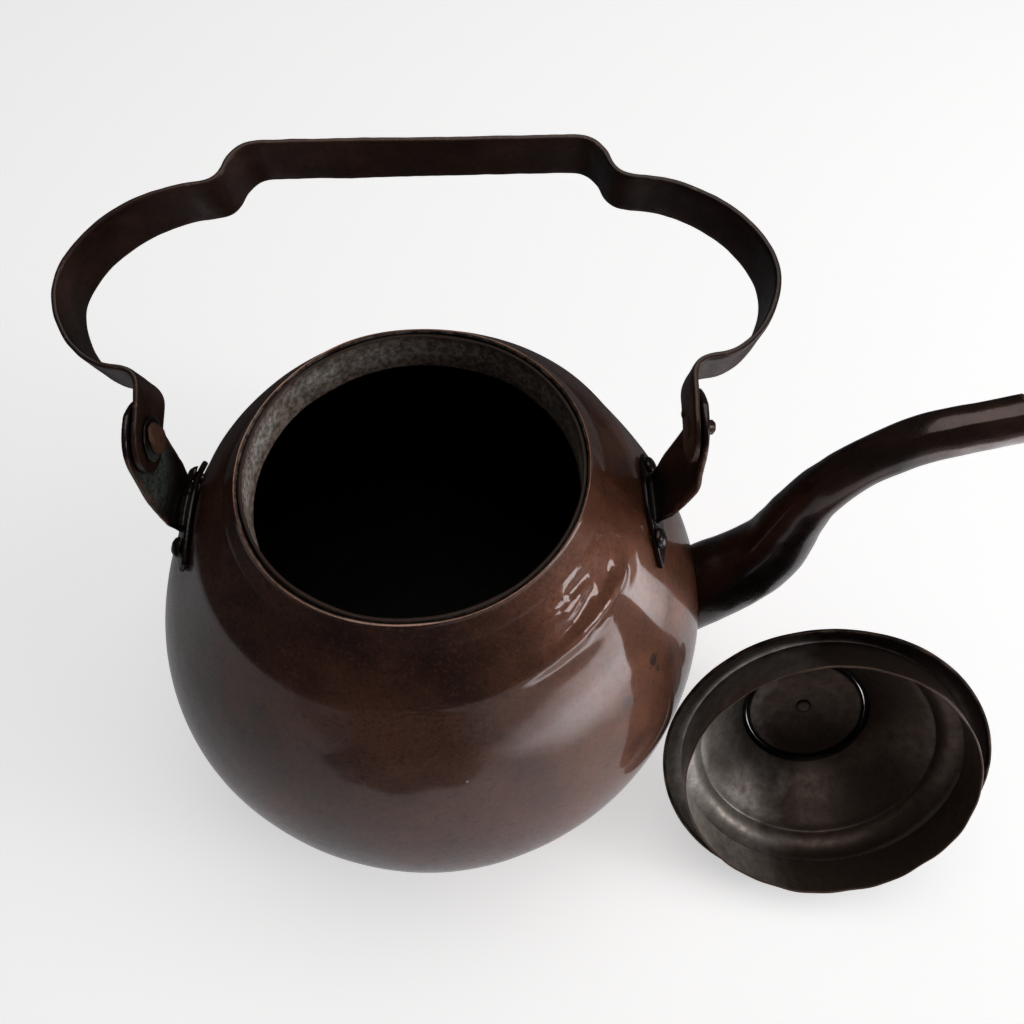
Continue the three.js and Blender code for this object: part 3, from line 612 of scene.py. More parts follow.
def dent_field(points):
    """How far the sheet is pushed out: unevenness as sums of waves, each crease a bell along and
    across its own line, fine folds on the worked patch, and a groove round the neck.
    """
    x, y, z = points[..., 0], points[..., 1], points[..., 2]
    bearing = np.degrees(np.arctan2(y, x))
    push = sum(depth * waves(points, length, seed) for depth, length, seed in UNEVENNESS)
    push = push * np.clip(z / 25, 0, 1)
    for turn, height, long, broad, lean, depth in DENTS:
        across = np.radians(bearing - turn) * np.hypot(x, y)
        up = (z - height) * 1.15
        c, s = math.cos(math.radians(lean)), math.sin(math.radians(lean))
        u, v = (c * across + s * up) / long, (-s * across + c * up) / broad
        push = push - depth * np.exp(-(u * u) - v * v) * (np.abs(across) < 90)
    worked = np.exp(-(((bearing + 40) / 19) ** 4) - ((z - 155) / 8) ** 4)
    stretched = np.stack([0.2 * bearing, z, 0.6 * np.hypot(x, y)], -1)
    groove = np.exp(-(((z - (BODY_HEIGHT - NECK_DROP + 0.5)) / 0.8) ** 2))
    push = push - 0.32 * groove * (0.8 + 0.2 * np.sin(5 * np.radians(bearing)))
    return push + worked * (0.42 * waves(stretched, 6.0, 17) + 0.12 * waves(points, 6, 18))


def make_body():
    """Outer and inner half sections joined by a rounded edge, turned, then pushed by the dents."""
    outside = eased(respaced(OUTLINE, step=1.35), 1)
    n = side_of(outside)
    inside = outside - WALL * n
    inside = inside[(inside[:, 0] > 1) & (inside[:, 1] > 0)]
    inside = respaced(inside, step=3.2)[::-1]
    edge_middle = 0.5 * (outside[-1] + inside[0])
    a = np.linspace(0, np.pi, 9)[1:-1]
    out_way = (outside[-1] - edge_middle)[None]
    edge = edge_middle + np.cos(a)[:, None] * out_way + np.sin(a)[:, None] * np.array([[0, 0.8]])
    outside[0, 0] = 0.02
    inside = np.concatenate([inside, [(0.02, inside[-1, 1])]])
    profile = np.concatenate([outside, edge, inside])
    rows = turned(profile, BODY_STEPS)
    along = np.concatenate([np.zeros(len(outside)), np.linspace(0, 1, len(edge)), np.ones(len(inside))])
    push = dent_field(rows)
    normal = normals_of(rows)
    sign = np.where(along < 0.5, 1.0, -1.0)[:, None]
    outward = normal * np.sign((normal[60] * rows[60]).sum()) * sign[..., None]
    flat = np.clip(rows[..., 2] / 8, 0, 1)
    rows = rows + outward * (push * flat)[..., None]
    rim = np.exp(-((BODY_HEIGHT - rows[..., 2]) / 5) ** 2)
    bearing = np.arctan2(rows[..., 1], rows[..., 0])
    rows[..., 2] += rim * (0.35 * np.sin(3 * bearing + 0.5) + 0.25 * np.sin(7 * bearing))
    oval = 1 + 0.006 * np.cos(2 * (bearing - math.radians(70))) * np.clip((rows[..., 2] - 120) / 40, 0, 1)
    rows[..., 0] *= oval
    rows[..., 1] *= oval
    edge_mark = np.zeros(rows.shape[:2])
    k = len(outside)
    edge_mark[k + 1 : k + len(edge)] = 1
    inside_mark = np.broadcast_to((along > 0.5)[:, None], rows.shape[:2]).astype(float)
    make_piece(
        "kettle_body", [skin(rows)], BODY_COPPER, "kettle", ["body_shell"], "copper_body",
        edge=edge_mark, inside=inside_mark,
    )


def make_mouth_band():
    """A turned upright ring just inside the mouth, its height a little wavy."""
    outer = RIM_RADIUS - WALL - GAP
    top = BODY_HEIGHT - BAND_DROP
    low = top - BAND_HEIGHT
    heights = np.linspace(low, top, 26)
    inside = np.stack([np.full(26, outer - BAND_SHEET), heights[::-1]], 1)
    outside = np.stack([np.full(26, outer), heights], 1)
    rows = turned(np.concatenate([outside, inside]), BODY_STEPS)
    bearing = np.arctan2(rows[..., 1], rows[..., 0])
    rows[..., 2] += 0.35 * np.sin(3 * bearing + 0.5) + 0.2 * np.sin(8 * bearing)
    inner_side = (np.arange(52) > 25)[:, None]
    dents = 0.12 * waves(rows, 24, 12) + 0.05 * waves(rows, 8, 13)
    rows[..., :2] *= (1 - inner_side * (0.1 + np.clip(dents, -0.1, 0.2)) / outer)[..., None]
    edge = np.exp(-(((heights - top) / 0.8) ** 2))
    mark = np.concatenate([edge, edge[::-1]])[:, None] * np.ones((1, BODY_STEPS))
    make_piece(
        "mouth_band_ring", [skin(rows, wrapped=True)], BAND_TIN, "kettle", ["mouth_band"], "tinned_band",
        edge=mark,
    )


# ---- spout ----
SPOUT_REACH, SPOUT_TIP_RISE = 214.0, 19.0
SPOUT_LOWER_BENDS = [(-18.4, -17.3), (5.5, 9.7), (19, 24.9), (27.6, 41.2)]
SPOUT_UPPER_BENDS = [(63.7, 62), (58.5, 42.2), (47, 25), (28.8, 10.4)]
SPOUT_ROOT, SPOUT_END, SPOUT_WALL = 18.0, 8.7, 1.4
TAPER_START, TAPER_END = 0.12, 0.72


def spout_line(count):
    """The spout's middle line in the plane of the ears."""
    tip = (SPOUT_REACH, 0, BODY_HEIGHT + SPOUT_TIP_RISE)
    points = [(BELLY_RADIUS + out, 0, BELLY_HEIGHT + up) for out, up in SPOUT_LOWER_BENDS]
    points += [(tip[0] - back, 0, tip[2] - down) for back, down in SPOUT_UPPER_BENDS]
    return respaced(through(points + [tip], 400), count)


def make_spout():
    """A round section of falling radius carried along the line, its root cut to the body's form."""
    line = spout_line(420)
    s = np.linspace(0, 1, len(line))
    tangent = np.gradient(line, axis=0)
    tangent /= np.linalg.norm(tangent, axis=1)[:, None]
    side = np.array([0, 1.0, 0])
    up = np.cross(side, tangent)
    slim = np.clip((s - TAPER_START) / (TAPER_END - TAPER_START), 0, 1)
    radius = SPOUT_ROOT + (SPOUT_END - SPOUT_ROOT) * slim * slim * (3 - 2 * slim)
    count = 120
    a = np.linspace(0, 2 * np.pi, count, endpoint=False)

    def sheet(shrink):
        """Rings of the tube, each smaller by shrink than the outer radius there."""
        ring = np.cos(a)[None, :, None] * up[:, None] + np.sin(a)[None, :, None] * side
        return line[:, None] + (radius - shrink)[:, None, None] * ring

    def trimmed(full, gap, steps):
        """Each long line of the tube cut where it leaves the body, then spaced into steps."""
        clear = np.hypot(full[..., 0], full[..., 1]) - body_radius(full[..., 2]) - gap
        first = np.argmax(clear > 0, 0)
        share = np.linspace(0, 1, steps)[:, None] ** 1.15
        at = first[None] + share * (len(full) - 1 - first[None])
        i = np.minimum(at.astype(int), len(full) - 2)
        t = (at - i)[..., None]
        j = np.arange(count)[None]
        return full[i, j] * (1 - t) + full[i + 1, j] * t

    outer = trimmed(sheet(0.0), 0.15, 190)
    inner = trimmed(sheet(SPOUT_WALL), 0.15, 60)[::-1]
    wave = 0.22 * waves(outer, 34, 21) + 0.08 * waves(outer, 11, 22)
    normal = normals_of(outer)
    normal *= np.sign(np.einsum("ijk,ijk->", normal, outer - outer.mean(1, keepdims=True)))
    seam = np.exp(-(((np.degrees(a) - 205 + 180) % 360 - 180) / 5.0) ** 2)
    outer = outer + normal * (wave + 0.16 * seam[None])[..., None]
    lip = 0.5 * (outer[-1] + inner[0]) + 0.7 * tangent[-1]
    rows = np.concatenate([outer, lip[None], inner])
    edge = np.zeros(rows.shape[:2])
    edge[len(outer) - 2 : len(outer) + 2] = 0.9
    edge[0] = 0.7
    make_piece(
        "spout", [skin(rows, wrapped=True)], SPOUT_COPPER, "kettle", ["spout_tube"], "copper_spout",
        edge=edge,
    )


# ---- bail ----
STRAP_WIDTH, STRAP_THICKNESS = 24.5, 2.4
BAIL_HEIGHT, GRIP_HALF, LOOP_REACH, LOOP_RISE = 105.5, 56.0, 125.5, 51.0
STRAP_STRAIGHT, STEP_RISE, STEP_REACH = 14.2, 22.5, 10.0
SHOULDER_REACH, SHOULDER_DROP = 82.8, 16.5
BAIL_LEAN = math.radians(68)


def bail_line():
    """Middle line of the strap, upright: end leg, outward step, loop, shoulder step, grip."""
    end = EAR_REACH - GAP - 0.5 * STRAP_THICKNESS
    top, under, grip = BAIL_HEIGHT, BAIL_HEIGHT - SHOULDER_DROP, GRIP_HALF
    step, rise, loop, widest, inner = end + STEP_REACH, STEP_RISE, LOOP_REACH, LOOP_RISE, SHOULDER_REACH
    bends = [
        [(end, STRAP_STRAIGHT), (end + 0.2, rise - 2), (end + 3, rise - 0.4), (step, rise)],
        [(step, rise), (step + 10, rise + 1.5), (loop - 0.5, widest - 15), (loop, widest)],
        [(loop, widest), (loop - 0.5, widest + 15), (loop - 18, under - 4), (inner, under)],
        [(inner, under), (inner - 7.5, under + 1), (inner - 12.5, under + 0.5), (grip + 12, top - 7)],
        [(grip + 12, top - 7), (grip + 8, top - 1), (grip + 5, top), (grip, top)],
    ]
    half = [[(end, -0.5 * STRAP_WIDTH), (end, STRAP_STRAIGHT)]]
    half += [bezier(*corners, count=30)[1:] for corners in bends]
    half = np.concatenate(half + [[(0, top)]])
    half = eased(respaced(half, step=0.5), 5)
    other = half[::-1][1:] * [-1, 1]
    return np.concatenate([half, other])


def leaned(points):
    """Upright bail points tipped back about the pivot line and lifted to it."""
    c, s = math.cos(BAIL_LEAN), math.sin(BAIL_LEAN)
    x, y, z = points[..., 0], points[..., 1], points[..., 2]
    return np.stack([x + BAIL_MIDDLE, y * c + z * s, -y * s + z * c + PIVOT_HEIGHT], -1)


def make_bail():
    """A squared oval carried along the bail's line, both ends rounded to half circles."""
    line = bail_line()
    d = np.r_[0, np.cumsum(np.linalg.norm(np.diff(line, axis=0), axis=1))]
    total, r = d[-1], 0.5 * STRAP_WIDTH
    ends = r * (1 - np.cos(np.linspace(0, np.pi / 2, 24)))
    middle = np.linspace(r, total - r, 520)[1:-1]
    at = np.concatenate([ends, middle, (total - ends)[::-1]])
    flat = np.stack([np.interp(at, d, line[:, k]) for k in range(2)], 1)
    path = np.stack([flat[:, 0], np.zeros(len(flat)), flat[:, 1]], 1)
    n = side_of(flat)
    face = np.stack([n[:, 0], np.zeros(len(n)), n[:, 1]], 1)
    across = np.broadcast_to([0, 1.0, 0], face.shape)
    near_end = np.minimum(at, total - at)
    width = STRAP_WIDTH * np.sqrt(np.clip(1 - np.clip(1 - near_end / r, 0, 1) ** 2, 0.0008, 1))
    drift = 0.5 * np.sin(at / 37.0) + 0.3 * np.sin(at / 13.0 + 1)
    width = width + np.clip(near_end / 30, 0, 1) * drift
    rows, edge = strip(path, across, face, width, STRAP_THICKNESS, count=56, squareness=6)
    push = 0.10 * waves(rows, 16, 31) + 0.05 * waves(rows, 7, 32)
    rows = rows + face[:, None] * push[..., None]
    rows = leaned(rows)
    mark = 0.45 * np.broadcast_to(np.clip((edge - 0.93) / 0.07, 0, 1)[None], rows.shape[:2])
    make_piece("bail", [skin(rows)], STRAP_COPPER, "bail", ["bail_strap"], "copper_bail", edge=mark)


def make_bail_pin():
    """A small hammered pin head on the strap's inner face."""
    a = np.linspace(0, np.pi / 2, 10)
    profile = np.stack([1.7 * np.sin(a), 0.6 * np.cos(a)], 1)
    profile = np.concatenate([[(0.01, 0.6)], profile[1:], [(1.3, -0.2), (1.2, -2.2), (0.01, -2.2)]])
    rows = turned(profile, 24)
    x = EAR_REACH - GAP - STRAP_THICKNESS - 0.05 - rows[..., 2]
    rows = leaned(np.stack([x, 7.5 + rows[..., 0], 7 + rows[..., 1]], -1))
    make_piece("bail_small_pin", [skin(rows)], RIVET_COPPER, "bail", ["bail_pin"], "copper_rivets", edge=[0])


# ---- ears and rivets ----
FOOT_HEIGHT = BODY_HEIGHT - 31
EAR_THICKNESS = 2.4
LEAF_TOP = 13.2
WASHER = 1.2


def ear_shells(side, face_x):
    """The upright leaf and stem, a strip of changing width, and the two wings along the body."""
    foot = body_radius(FOOT_HEIGHT) + GAP + 0.5 * EAR_THICKNESS
    face = abs(face_x) + 0.5 * EAR_THICKNESS
    corners = [
        (foot - 0.4, FOOT_HEIGHT - 5),
        (foot - 0.2, FOOT_HEIGHT + 1),
        (foot + 0.35 * (face - foot), FOOT_HEIGHT + 10),
        (face, PIVOT_HEIGHT - 19),
        (face, PIVOT_HEIGHT - 10),
        (face, PIVOT_HEIGHT + 4),
        (face, PIVOT_HEIGHT + LEAF_TOP),
    ]
    line = eased(respaced(through(corners, 300), step=0.5), 8)
    n = side_of(line)
    height = line[:, 1]
    key_heights = [FOOT_HEIGHT + up for up in (-5, 4, 12)]
    key_heights += [PIVOT_HEIGHT + up for up in (-19, -8, 2, 7, 10.5, 12.4, LEAF_TOP)]
    key_widths = [21, 22.5, 28, 30, 29, 28, 24.5, 17, 9, 0.6]
    width = np.interp(height, key_heights, key_widths)
    width = eased(width[:, None], 7)[:, 0]
    path = np.stack([side * line[:, 0], np.zeros(len(line)), line[:, 1]], 1)
    face_way = np.stack([side * n[:, 0], np.zeros(len(n)), n[:, 1]], 1)
    across = np.broadcast_to([0, 1.0, 0], path.shape)
    leaf, _ = strip(path, across, face_way, width, EAR_THICKNESS, count=44)
    a = np.radians(np.linspace(-15.4, 17.6, 110) * -side)
    base = np.stack([side * foot * np.cos(a), foot * np.sin(a), np.full(len(a), FOOT_HEIGHT)], 1)
    lean = (body_radius(FOOT_HEIGHT - 4) - body_radius(FOOT_HEIGHT + 4)) / 8
    out = np.stack([side * np.cos(a), np.sin(a), np.full(len(a), lean)], 1)
    out /= np.linalg.norm(out, axis=1)[:, None]
    up = np.stack([-side * lean * np.cos(a), -lean * np.sin(a), np.ones(len(a))], 1)
    up /= np.linalg.norm(up, axis=1)[:, None]
    t = np.abs(a) / a.max()
    hang = np.where(a * side < 0, 10.0, 3.0) * np.clip(t - 0.2, 0, 1) ** 1.3
    base[:, 2] -= hang
    base[:, :2] *= (body_radius(FOOT_HEIGHT - hang) / body_radius(FOOT_HEIGHT))[:, None]
    wing = 17.5 * np.clip(1 - t**1.9, 0.002, 1) ** 0.75
    wings, _ = strip(base, up, out, wing, EAR_THICKNESS, count=40)
    return [skin(leaf), skin(wings)]


def make_ears():
    """Both ears: leaf and wings fused by a fine remesh, then eased so they look forged in one."""
    for label, side in (("spout_side", 1), ("back_side", -1)):
        ear = make_piece(
            "ear_" + label + "_forged", ear_shells(side, EAR_FACES[label]), EAR_COPPER, "kettle",
            ["ear_" + label], "copper_ears",
        )
        fuse = ear.modifiers.new("fuse", "REMESH")
        fuse.mode = "VOXEL"
        fuse.voxel_size = 0.00055
        fuse.use_smooth_shade = True
        ease = ear.modifiers.new("ease", "SMOOTH")
        ease.factor = 0.5
        ease.iterations = 6


def hammered(profile, count, place, way, seed, amount):
    """A turned rivet shape aimed along a direction, roughened by small hammer marks."""
    rows = turned(np.asarray(profile, float), count)
    rows = rows * (1 + amount * waves(rows, 3.5, seed)[..., None] * [1, 1, 0.6])
    turn = Vector((0, 0, 1)).rotation_difference(Vector(way)).to_matrix()
    return rows @ np.array(turn).T + np.asarray(place)


def make_foot_rivets():
    """Domed heads outside the wings, flat tails inside the wall."""
    lean = float(body_radius(FOOT_HEIGHT - 3) - body_radius(FOOT_HEIGHT + 3)) / 6
    head = 2 * GAP + EAR_THICKNESS
    a = np.linspace(0, np.pi / 2, 12)
    dome = np.stack([4.1 * np.sin(a), head + 2.5 * np.cos(a)], 1)
    tail = -WALL - GAP
    inner = [(2.1, head - 0.2), (2.1, tail), (3.4, tail - 0.1), (3.2, tail - 1.1), (0.01, tail - 1.2)]
    profile = np.concatenate([[(0.01, head + 2.5)], dome[1:], inner])
    seed = 50
    for label, side in (("spout_side", 1), ("back_side", -1)):
        for name, wing in (("near", -1), ("far", 1)):
            y = wing * 15.5
            z = FOOT_HEIGHT - (2.0 if wing < 0 else 0.6)
            radius = float(body_radius(z))
            x = side * math.sqrt(radius * radius - y * y)
            way = np.array([x / radius, y / radius, lean])
            seed += 1
            rows = hammered(profile, 36, (x, y, z), way / np.linalg.norm(way), seed, 0.035)
            node = "foot_rivet_" + label + "_" + name
            make_piece(
                "rivet_" + label + "_" + name, [skin(rows)], EAR_COPPER, "kettle", [node], "copper_rivets",
                edge=[0],
            )


def on_pivot(rows, side):
    """Turned rows, their axis laid along the hinge line on one side of the kettle."""
    return np.stack([side * rows[..., 2] + BAIL_MIDDLE, rows[..., 0], rows[..., 1] + PIVOT_HEIGHT], -1)


def make_pivots():
    """Pivot rivets along the hinge line: broad and lobed at the back, flat by the spout."""
    strap_in = EAR_REACH - GAP - STRAP_THICKNESS
    outer = EAR_REACH + EAR_THICKNESS
    shank_end = [(3, outer + 0.2), (3.6, outer + 0.4), (3.7, outer + 1.4)]
    shank_end += [(2.6, outer + 2.2), (2.6, outer + 3.2), (1.6, outer + 4.2), (0.01, outer + 4.4)]
    a = np.linspace(0, np.pi / 2, 12)
    for label, side, radius, rise, face, finish in (
        ("spout_side", 1, 4.0, 0.55, strap_in - 0.1, STRAP_COPPER),
        ("back_side", -1, 6.0, 2.0, strap_in - 2 * GAP - WASHER, WORN_HEAD),
    ):
        cap = np.stack([radius * np.sin(a) ** 0.8, face - rise * np.cos(a) ** 0.7], 1)
        profile = np.concatenate([[(0.01, face - rise)], cap[1:], [(3, face)], shank_end])
        rows = turned(profile, 56)
        head = np.clip((face + 0.1 - rows[..., 2]) / 0.3, 0, 1)
        turn = np.arctan2(rows[..., 1], rows[..., 0])
        lobes = 0.26 * np.cos(2 * (turn - 1.9)) + 0.07 * np.cos(3 * turn + 1)
        rows[..., :2] *= (1 + (side < 0) * head * lobes)[..., None]
        rows = rows * (1 + 0.04 * waves(rows, 4, 70 + side)[..., None] * [1, 1, 0])
        rows[..., 2] += 0.22 * (side < 0) * head * waves(rows, 3.2, 77)
        make_piece(
            "pivot_" + label, [skin(on_pivot(rows, side))], finish, "kettle", ["pivot_rivet_" + label],
            "copper_rivets", edge=[0],
        )


def make_washer():
    """The back pivot's washer, a worn round ring."""
    face = EAR_REACH - STRAP_THICKNESS - 2 * GAP - 0.5 * WASHER
    b = np.linspace(0, 2 * np.pi, 28, endpoint=False)
    rows = turned(np.stack([5.6 + 2.5 * np.cos(b), face + 0.5 * WASHER * np.sin(b)], 1), 48)
    rows = rows * (1 + 0.02 * waves(rows, 5, 79)[..., None] * [1, 1, 0])
    make_piece(
        "washer_back_side", [skin(on_pivot(rows, -1), wrapped=True)], EAR_COPPER, "kettle",
        ["pivot_washer_back_side"], "copper_rivets", edge=[0],
    )


# ---- lid ----
LID_RADIUS, LID_SHEET, COLLAR_RADIUS, COLLAR_HEIGHT = 66.5, 1.2, 58.5, 14.0
LID_STEP_RADIUS, LID_STEP_RISE = 50.5, 13.0
CROWN_RADIUS, CROWN_RISE = 26.0, 39.0
KNOB_HEIGHT, KNOB_RADIUS = 23.0, 9.5
LID_TILT, LID_FACING = math.radians(57.4), math.radians(-95.7)


def lid_pose():
    """The way the open side looks and the brim's middle, read off the collar's box."""
    opening = np.array(
        [
            math.cos(LID_FACING) * math.sin(LID_TILT),
            math.sin(LID_FACING) * math.sin(LID_TILT),
            math.cos(LID_TILT),
        ]
    )
    return opening, centre_of("lid_collar") - opening * 0.5 * (COLLAR_HEIGHT - 2.6)


OPENING, LID_MIDDLE = lid_pose()


def on_lid(rows):
    """Points of the upright lid turned so its top faces away from the opening, and put in place."""
    turn = Vector((0, 0, 1)).rotation_difference(Vector(-OPENING)).to_matrix()
    return rows @ np.array(turn).T + LID_MIDDLE


def lid_outline():
    """Upper face of the lid's sheet from its edge to the crown: cove, ogee step, cone."""
    r, step, crown = LID_RADIUS, LID_STEP_RADIUS, CROWN_RADIUS + GAP + 1.8
    cove = bezier((r, 0), (r - 3.5, 4.5), (COLLAR_RADIUS + 1, 4.5), count=14)
    ogee = bezier((COLLAR_RADIUS - 1, 5), (step + 1, 6), (step, LID_STEP_RISE), count=16)
    cone = bezier(
        (step - 2.5, LID_STEP_RISE + 1.5), (0.7 * step, CROWN_RISE - 14), (crown, CROWN_RISE - 3), count=40
    )
    return eased(respaced(np.concatenate([cove, ogee, cone]), step=0.5), 3)


def make_lid():
    """The lid's turned sheet: outer line, its offset inside, and a rolled edge."""
    outer = respaced(lid_outline(), step=0.7)
    normal = side_of(outer)
    inner = outer - LID_SHEET * normal * np.sign(normal[len(outer) // 2, 1])
    lip = [(LID_RADIUS, -1.2), (LID_RADIUS - 0.2, -1.5), (LID_RADIUS - 1.0, -1.5), (LID_RADIUS - 1.2, -1.2)]
    seat = [
        (CROWN_RADIUS + GAP + 0.2, CROWN_RISE - 2.3), (CROWN_RADIUS + GAP, CROWN_RISE - 2.6),
        (CROWN_RADIUS + GAP, CROWN_RISE - 4.2), (CROWN_RADIUS + GAP + 0.2, CROWN_RISE - 4.4),
    ]
    inner = inner[inner[:, 0] < LID_RADIUS - 1.0]
    profile = np.concatenate([outer, seat, inner[::-1], lip[::-1]])
    rows = turned(profile, LID_STEPS)
    bearing = np.arctan2(rows[..., 1], rows[..., 0])
    wob = 0.35 * np.sin(2 * bearing + 1) + 0.2 * np.sin(5 * bearing) + 0.15 * waves(rows, 28, 91)
    rows[..., 2] += wob * np.clip((rows[..., :2] ** 2).sum(-1) ** 0.5 / 66, 0, 1) ** 2
    rows[..., 2] += 0.06 * waves(rows, 9, 92)
    k = len(outer)
    inside = np.zeros(rows.shape[:2])
    inside[k + 7 : k + 4 + len(inner)] = 1
    brim = (rows[..., :2] ** 2).sum(-1) > (COLLAR_RADIUS - 0.5) ** 2
    inside[brim] *= 0.45
    edge = np.zeros(rows.shape[:2])
    edge[:2] = 0.6
    edge[-4:] = 0.75
    make_piece(
        "lid_sheet", [skin(on_lid(rows), wrapped=True)], LID_TIN, "lid", ["lid_dome"], "tinned_lid",
        edge=edge, inside=inside,
    )


def make_lid_collar():
    """The collar's upright wall with its thin free edge a little wavy."""
    r, low = COLLAR_RADIUS, -COLLAR_HEIGHT
    outer = np.stack([np.full(26, r), np.linspace(2.4, low + 0.3, 26)], 1)
    inner = np.stack([np.linspace(r - 0.8, r - LID_SHEET, 26), np.linspace(low + 0.3, 2.4, 26)], 1)
    tip = [(r - 0.15, low + 0.05), (r - 0.4, low), (r - 0.65, low + 0.05)]
    rows = turned(np.concatenate([outer, tip, inner]), LID_STEPS)
    bearing = np.arctan2(rows[..., 1], rows[..., 0])
    free = np.clip((2.4 - rows[..., 2]) / 16.4, 0, 1)
    wavy = 0.35 * np.sin(3 * bearing) + 0.22 * np.sin(11 * bearing + 1) + 0.15 * np.sin(23 * bearing)
    rows[..., 2] += free * wavy
    swell = 1 + free * (0.004 * np.sin(2 * bearing + 2) + 0.002 * np.sin(9 * bearing))
    rows[..., :2] *= swell[..., None]
    edge = np.zeros(rows.shape[:2])
    edge[25:30] = 1
    inside = np.full(rows.shape[:2], 0.6)
    inside[28:] = 1
    make_piece(
        "lid_collar_ring", [skin(on_lid(rows), wrapped=True)], LID_TIN, "lid", ["lid_collar"], "tinned_lid",
        edge=edge, inside=inside,
    )


def make_lid_crown():
    """The disc let into the lid's middle, slightly domed, with an open hole for the knob's rivet."""
    low, r, bore = CROWN_RISE - 4.2, CROWN_RADIUS, 2.7
    top = bezier((r - 0.2, low + 2), (0.6 * r, low + 4.6), (bore, low + 5), count=30)
    under = bezier((bore, low + 3.6), (0.6 * r, low + 3.2), (r - 1.4, low + 0.1), count=30)
    rim = [(r - 0.3, low + 0.1), (r, low + 0.4), (r, low + 1.8)]
    rows = turned(np.concatenate([top, under, rim]), 160)
    rows[..., 2] += 0.12 * waves(rows, 18, 95)
    inside = np.zeros(rows.shape[:2])
    inside[30:59] = 1
    make_piece(
        "lid_crown_disc", [skin(on_lid(rows), wrapped=True)], LID_TIN, "lid", ["lid_crown"], "tinned_lid",
        edge=[0], inside=inside,
    )


def make_knob():
    """A turned baluster knob, hollow below for the rivet that holds it."""
    foot = CROWN_RISE + 0.8 + GAP
    h, k, bore = KNOB_HEIGHT, KNOB_RADIUS, 2.7
    outline = through(
        [
            (7.6, foot + 1.4), (4.6, foot + 0.22 * h), (4.4, foot + 0.4 * h), (k, foot + 0.68 * h),
            (0.86 * k, foot + 0.88 * h), (0.35 * k, foot + h),
        ],
        60,
    )
    socket = foot + 0.5 * h + GAP
    profile = np.concatenate(
        [[(bore, foot), (7.5, foot), (7.9, foot + 0.3), (7.9, foot + 1.0)], outline, [(0.01, foot + h + 0.3)]]
    )
    rows = turned(np.concatenate([[(0.01, socket), (bore, socket)], profile]), 64)
    make_piece(
        "lid_knob_turned", [skin(on_lid(rows))], RIVET_COPPER, "lid", ["lid_knob"], "copper_knob",
        edge=[0],
    )
    seat = CROWN_RISE - 0.6 - GAP
    rivet = [
        (0.01, seat - 0.5), (2.2, seat - 0.5), (2.9, seat - 0.4), (3.2, seat - 0.15), (2.4, seat - 0.1),
        (2.4, foot + 0.5 * h), (0.01, foot + 0.5 * h),
    ]
    rows = turned(np.array(rivet), 32)
    make_piece(
        "lid_knob_rivet_head", [skin(on_lid(rows))], LID_TIN, "lid", ["lid_knob_rivet"], "copper_rivets",
        edge=[0], inside=np.ones(rows.shape[:2]),
    )


# ---- room ----
FLOOR_HALF = 6.0
GLOW_TINT, GLOW_STRENGTH = (0.245, 0.2425, 0.25), 4


def floor_glow(tree):
    """How brightly the table shows in reflections: brighter to the front right, dark far away."""
    _, x, y, _ = place_on_piece(tree)
    towards = maths(tree, "SUBTRACT", times(tree, x, 0.97), times(tree, y, 0.26))
    pool = spread(tree, towards, -0.23, 0.05, 0.2, 0.48)
    pool = plus(tree, pool, spread(tree, towards, 0.05, 0.2, 0.0, 0.12))
    pool = plus(tree, pool, spread(tree, towards, 0.28, 0.4, 0.0, 2.9))
    far = maths(tree, "SQRT", plus(tree, times(tree, x, x), times(tree, y, y)))
    pool = times(tree, pool, spread(tree, far, 0.44, 0.6, 1.0, 0.08))
    pool = times(tree, pool, spread(tree, y, 0.03, 0.13, 1.0, 0.12))
    front = spread(tree, plus(tree, y, times(tree, x, 0.29)), -0.40, -0.42)
    sides = times(tree, spread(tree, x, -0.235, -0.225), spread(tree, x, 0.16, 0.1))
    return times(tree, pool, spread(tree, times(tree, front, sides), 0, 1, 1.0, 0.1))


def make_floor():
    """A plain pale table: white to the eye, and a softly graded pool of light in reflections."""
    mesh = bpy.data.meshes.new("floor")
    s = FLOOR_HALF
    mesh.from_pydata([(-s, -s, 0), (s, -s, 0), (s, s, 0), (-s, s, 0)], [], [(0, 1, 2, 3)])
    floor = bpy.data.objects.new("floor", mesh)
    material = bpy.data.materials.new("pale_floor")
    material.use_nodes = True
    tree = material.node_tree
    shader = tree.nodes["Principled BSDF"]
    shader.inputs["Base Color"].default_value = (0.9, 0.9, 0.9, 1)
    shader.inputs["Roughness"].default_value = 0.9
    shader.inputs["Emission Color"].default_value = (1, 1, 1, 1)
    shader.inputs["Emission Strength"].default_value = 0.55
    glow = tree.nodes.new("ShaderNodeEmission")
    glow.inputs["Strength"].default_value = GLOW_STRENGTH
    tint = tree.nodes.new("ShaderNodeVectorMath")
    tint.operation = "SCALE"
    tint.inputs[0].default_value = GLOW_TINT
    tree.links.new(floor_glow(tree), tint.inputs["Scale"])
    tree.links.new(tint.outputs["Vector"], glow.inputs["Color"])
    mix = tree.nodes.new("ShaderNodeMixShader")
    path = tree.nodes.new("ShaderNodeLightPath")
    tree.links.new(path.outputs["Is Glossy Ray"], mix.inputs["Fac"])
    tree.links.new(shader.outputs["BSDF"], mix.inputs[1])
    tree.links.new(glow.outputs["Emission"], mix.inputs[2])
    tree.links.new(mix.outputs["Shader"], tree.nodes["Material Output"].inputs["Surface"])
    material.cycles.emission_sampling = "NONE"
    mesh.materials.append(material)
    bpy.context.scene.collection.objects.link(floor)


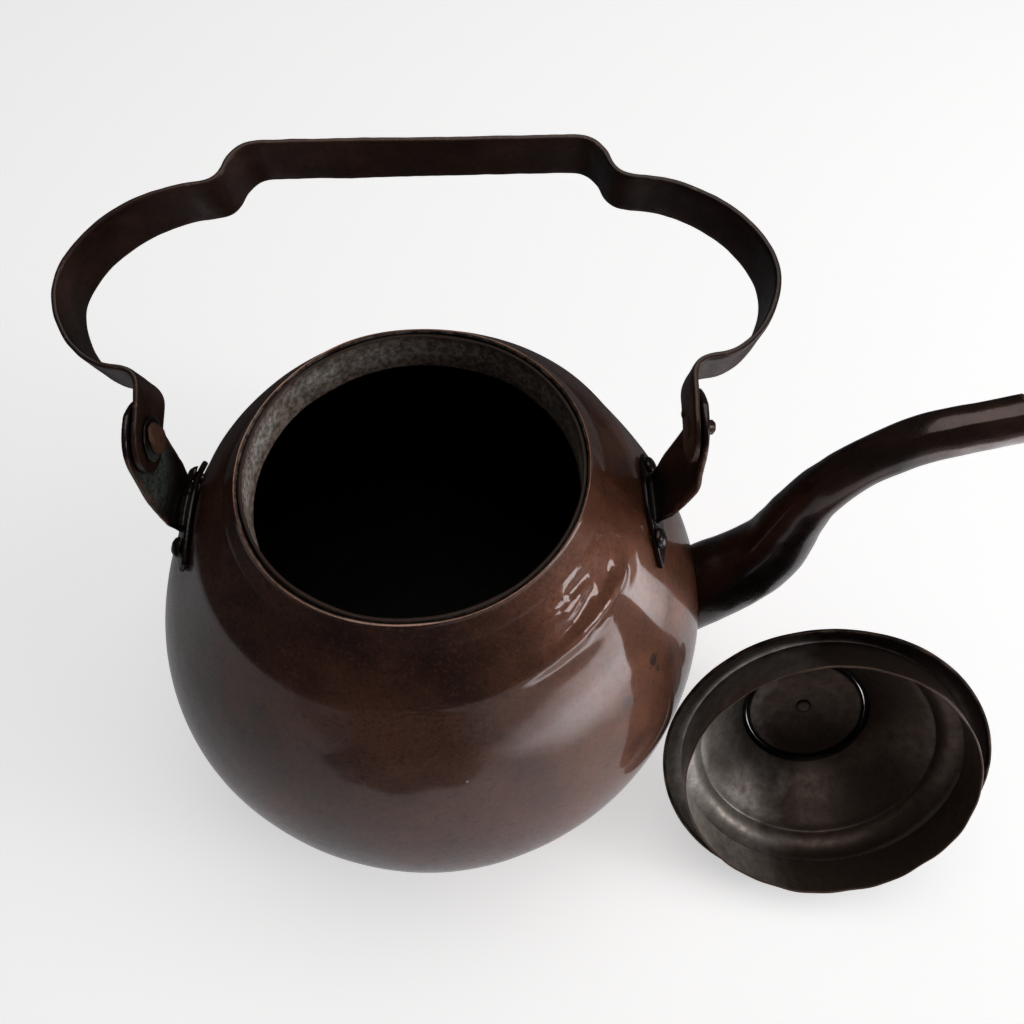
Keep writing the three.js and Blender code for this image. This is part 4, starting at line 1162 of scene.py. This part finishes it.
def make_light(name, bearing, height, distance, size, colour, radiance):
    """A soft rectangle of light at a bearing and elevation from the kettle, facing it."""
    a, e = math.radians(bearing), math.radians(height)
    way = Vector((math.cos(a) * math.cos(e), math.sin(a) * math.cos(e), math.sin(e)))
    data = bpy.data.lights.new(name, "AREA")
    data.shape = "RECTANGLE"
    data.size, data.size_y = size
    data.color = colour
    data.energy = radiance * math.pi * size[0] * size[1]
    light = bpy.data.objects.new(name, data)
    light.location = Vector((0, 0, 0.12)) + distance * way
    light.rotation_euler = (-way).to_track_quat("-Z", "Y").to_euler()
    bpy.context.scene.collection.objects.link(light)
    return light


def make_room():
    """A dim world that the eye sees as pale, a window, soft daylight and an overhead fill."""
    world = bpy.data.worlds.new("studio")
    world.use_nodes = True
    tree = world.node_tree
    tree.nodes["Background"].inputs["Color"].default_value = (0.026, 0.025, 0.026, 1)
    pale = tree.nodes.new("ShaderNodeBackground")
    pale.inputs["Color"].default_value = (1, 1, 1, 1)
    mix = tree.nodes.new("ShaderNodeMixShader")
    path = tree.nodes.new("ShaderNodeLightPath")
    tree.links.new(path.outputs["Is Camera Ray"], mix.inputs["Fac"])
    tree.links.new(tree.nodes["Background"].outputs["Background"], mix.inputs[1])
    tree.links.new(pale.outputs["Background"], mix.inputs[2])
    tree.links.new(mix.outputs["Shader"], tree.nodes["World Output"].inputs["Surface"])
    bpy.context.scene.world = world
    make_light("window", -16, 17, 1.5, (0.3, 0.5), (1.0, 0.97, 0.98), 6)
    daylight = make_light("daylight", -8, 24, 1.6, (1.3, 1.3), (1.0, 0.98, 0.97), 1.5)
    daylight.visible_glossy = False
    make_light("overhead", 60, 76, 1.9, (1.7, 1.7), (1.0, 0.99, 0.98), 1.3)
    bpy.context.scene.view_settings.view_transform = "Standard"


make_floor()
make_room()
make_body()
make_mouth_band()
make_spout()
make_bail()
make_bail_pin()
make_ears()
make_foot_rivets()
make_pivots()
make_washer()
make_lid()
make_lid_collar()
make_lid_crown()
make_knob()
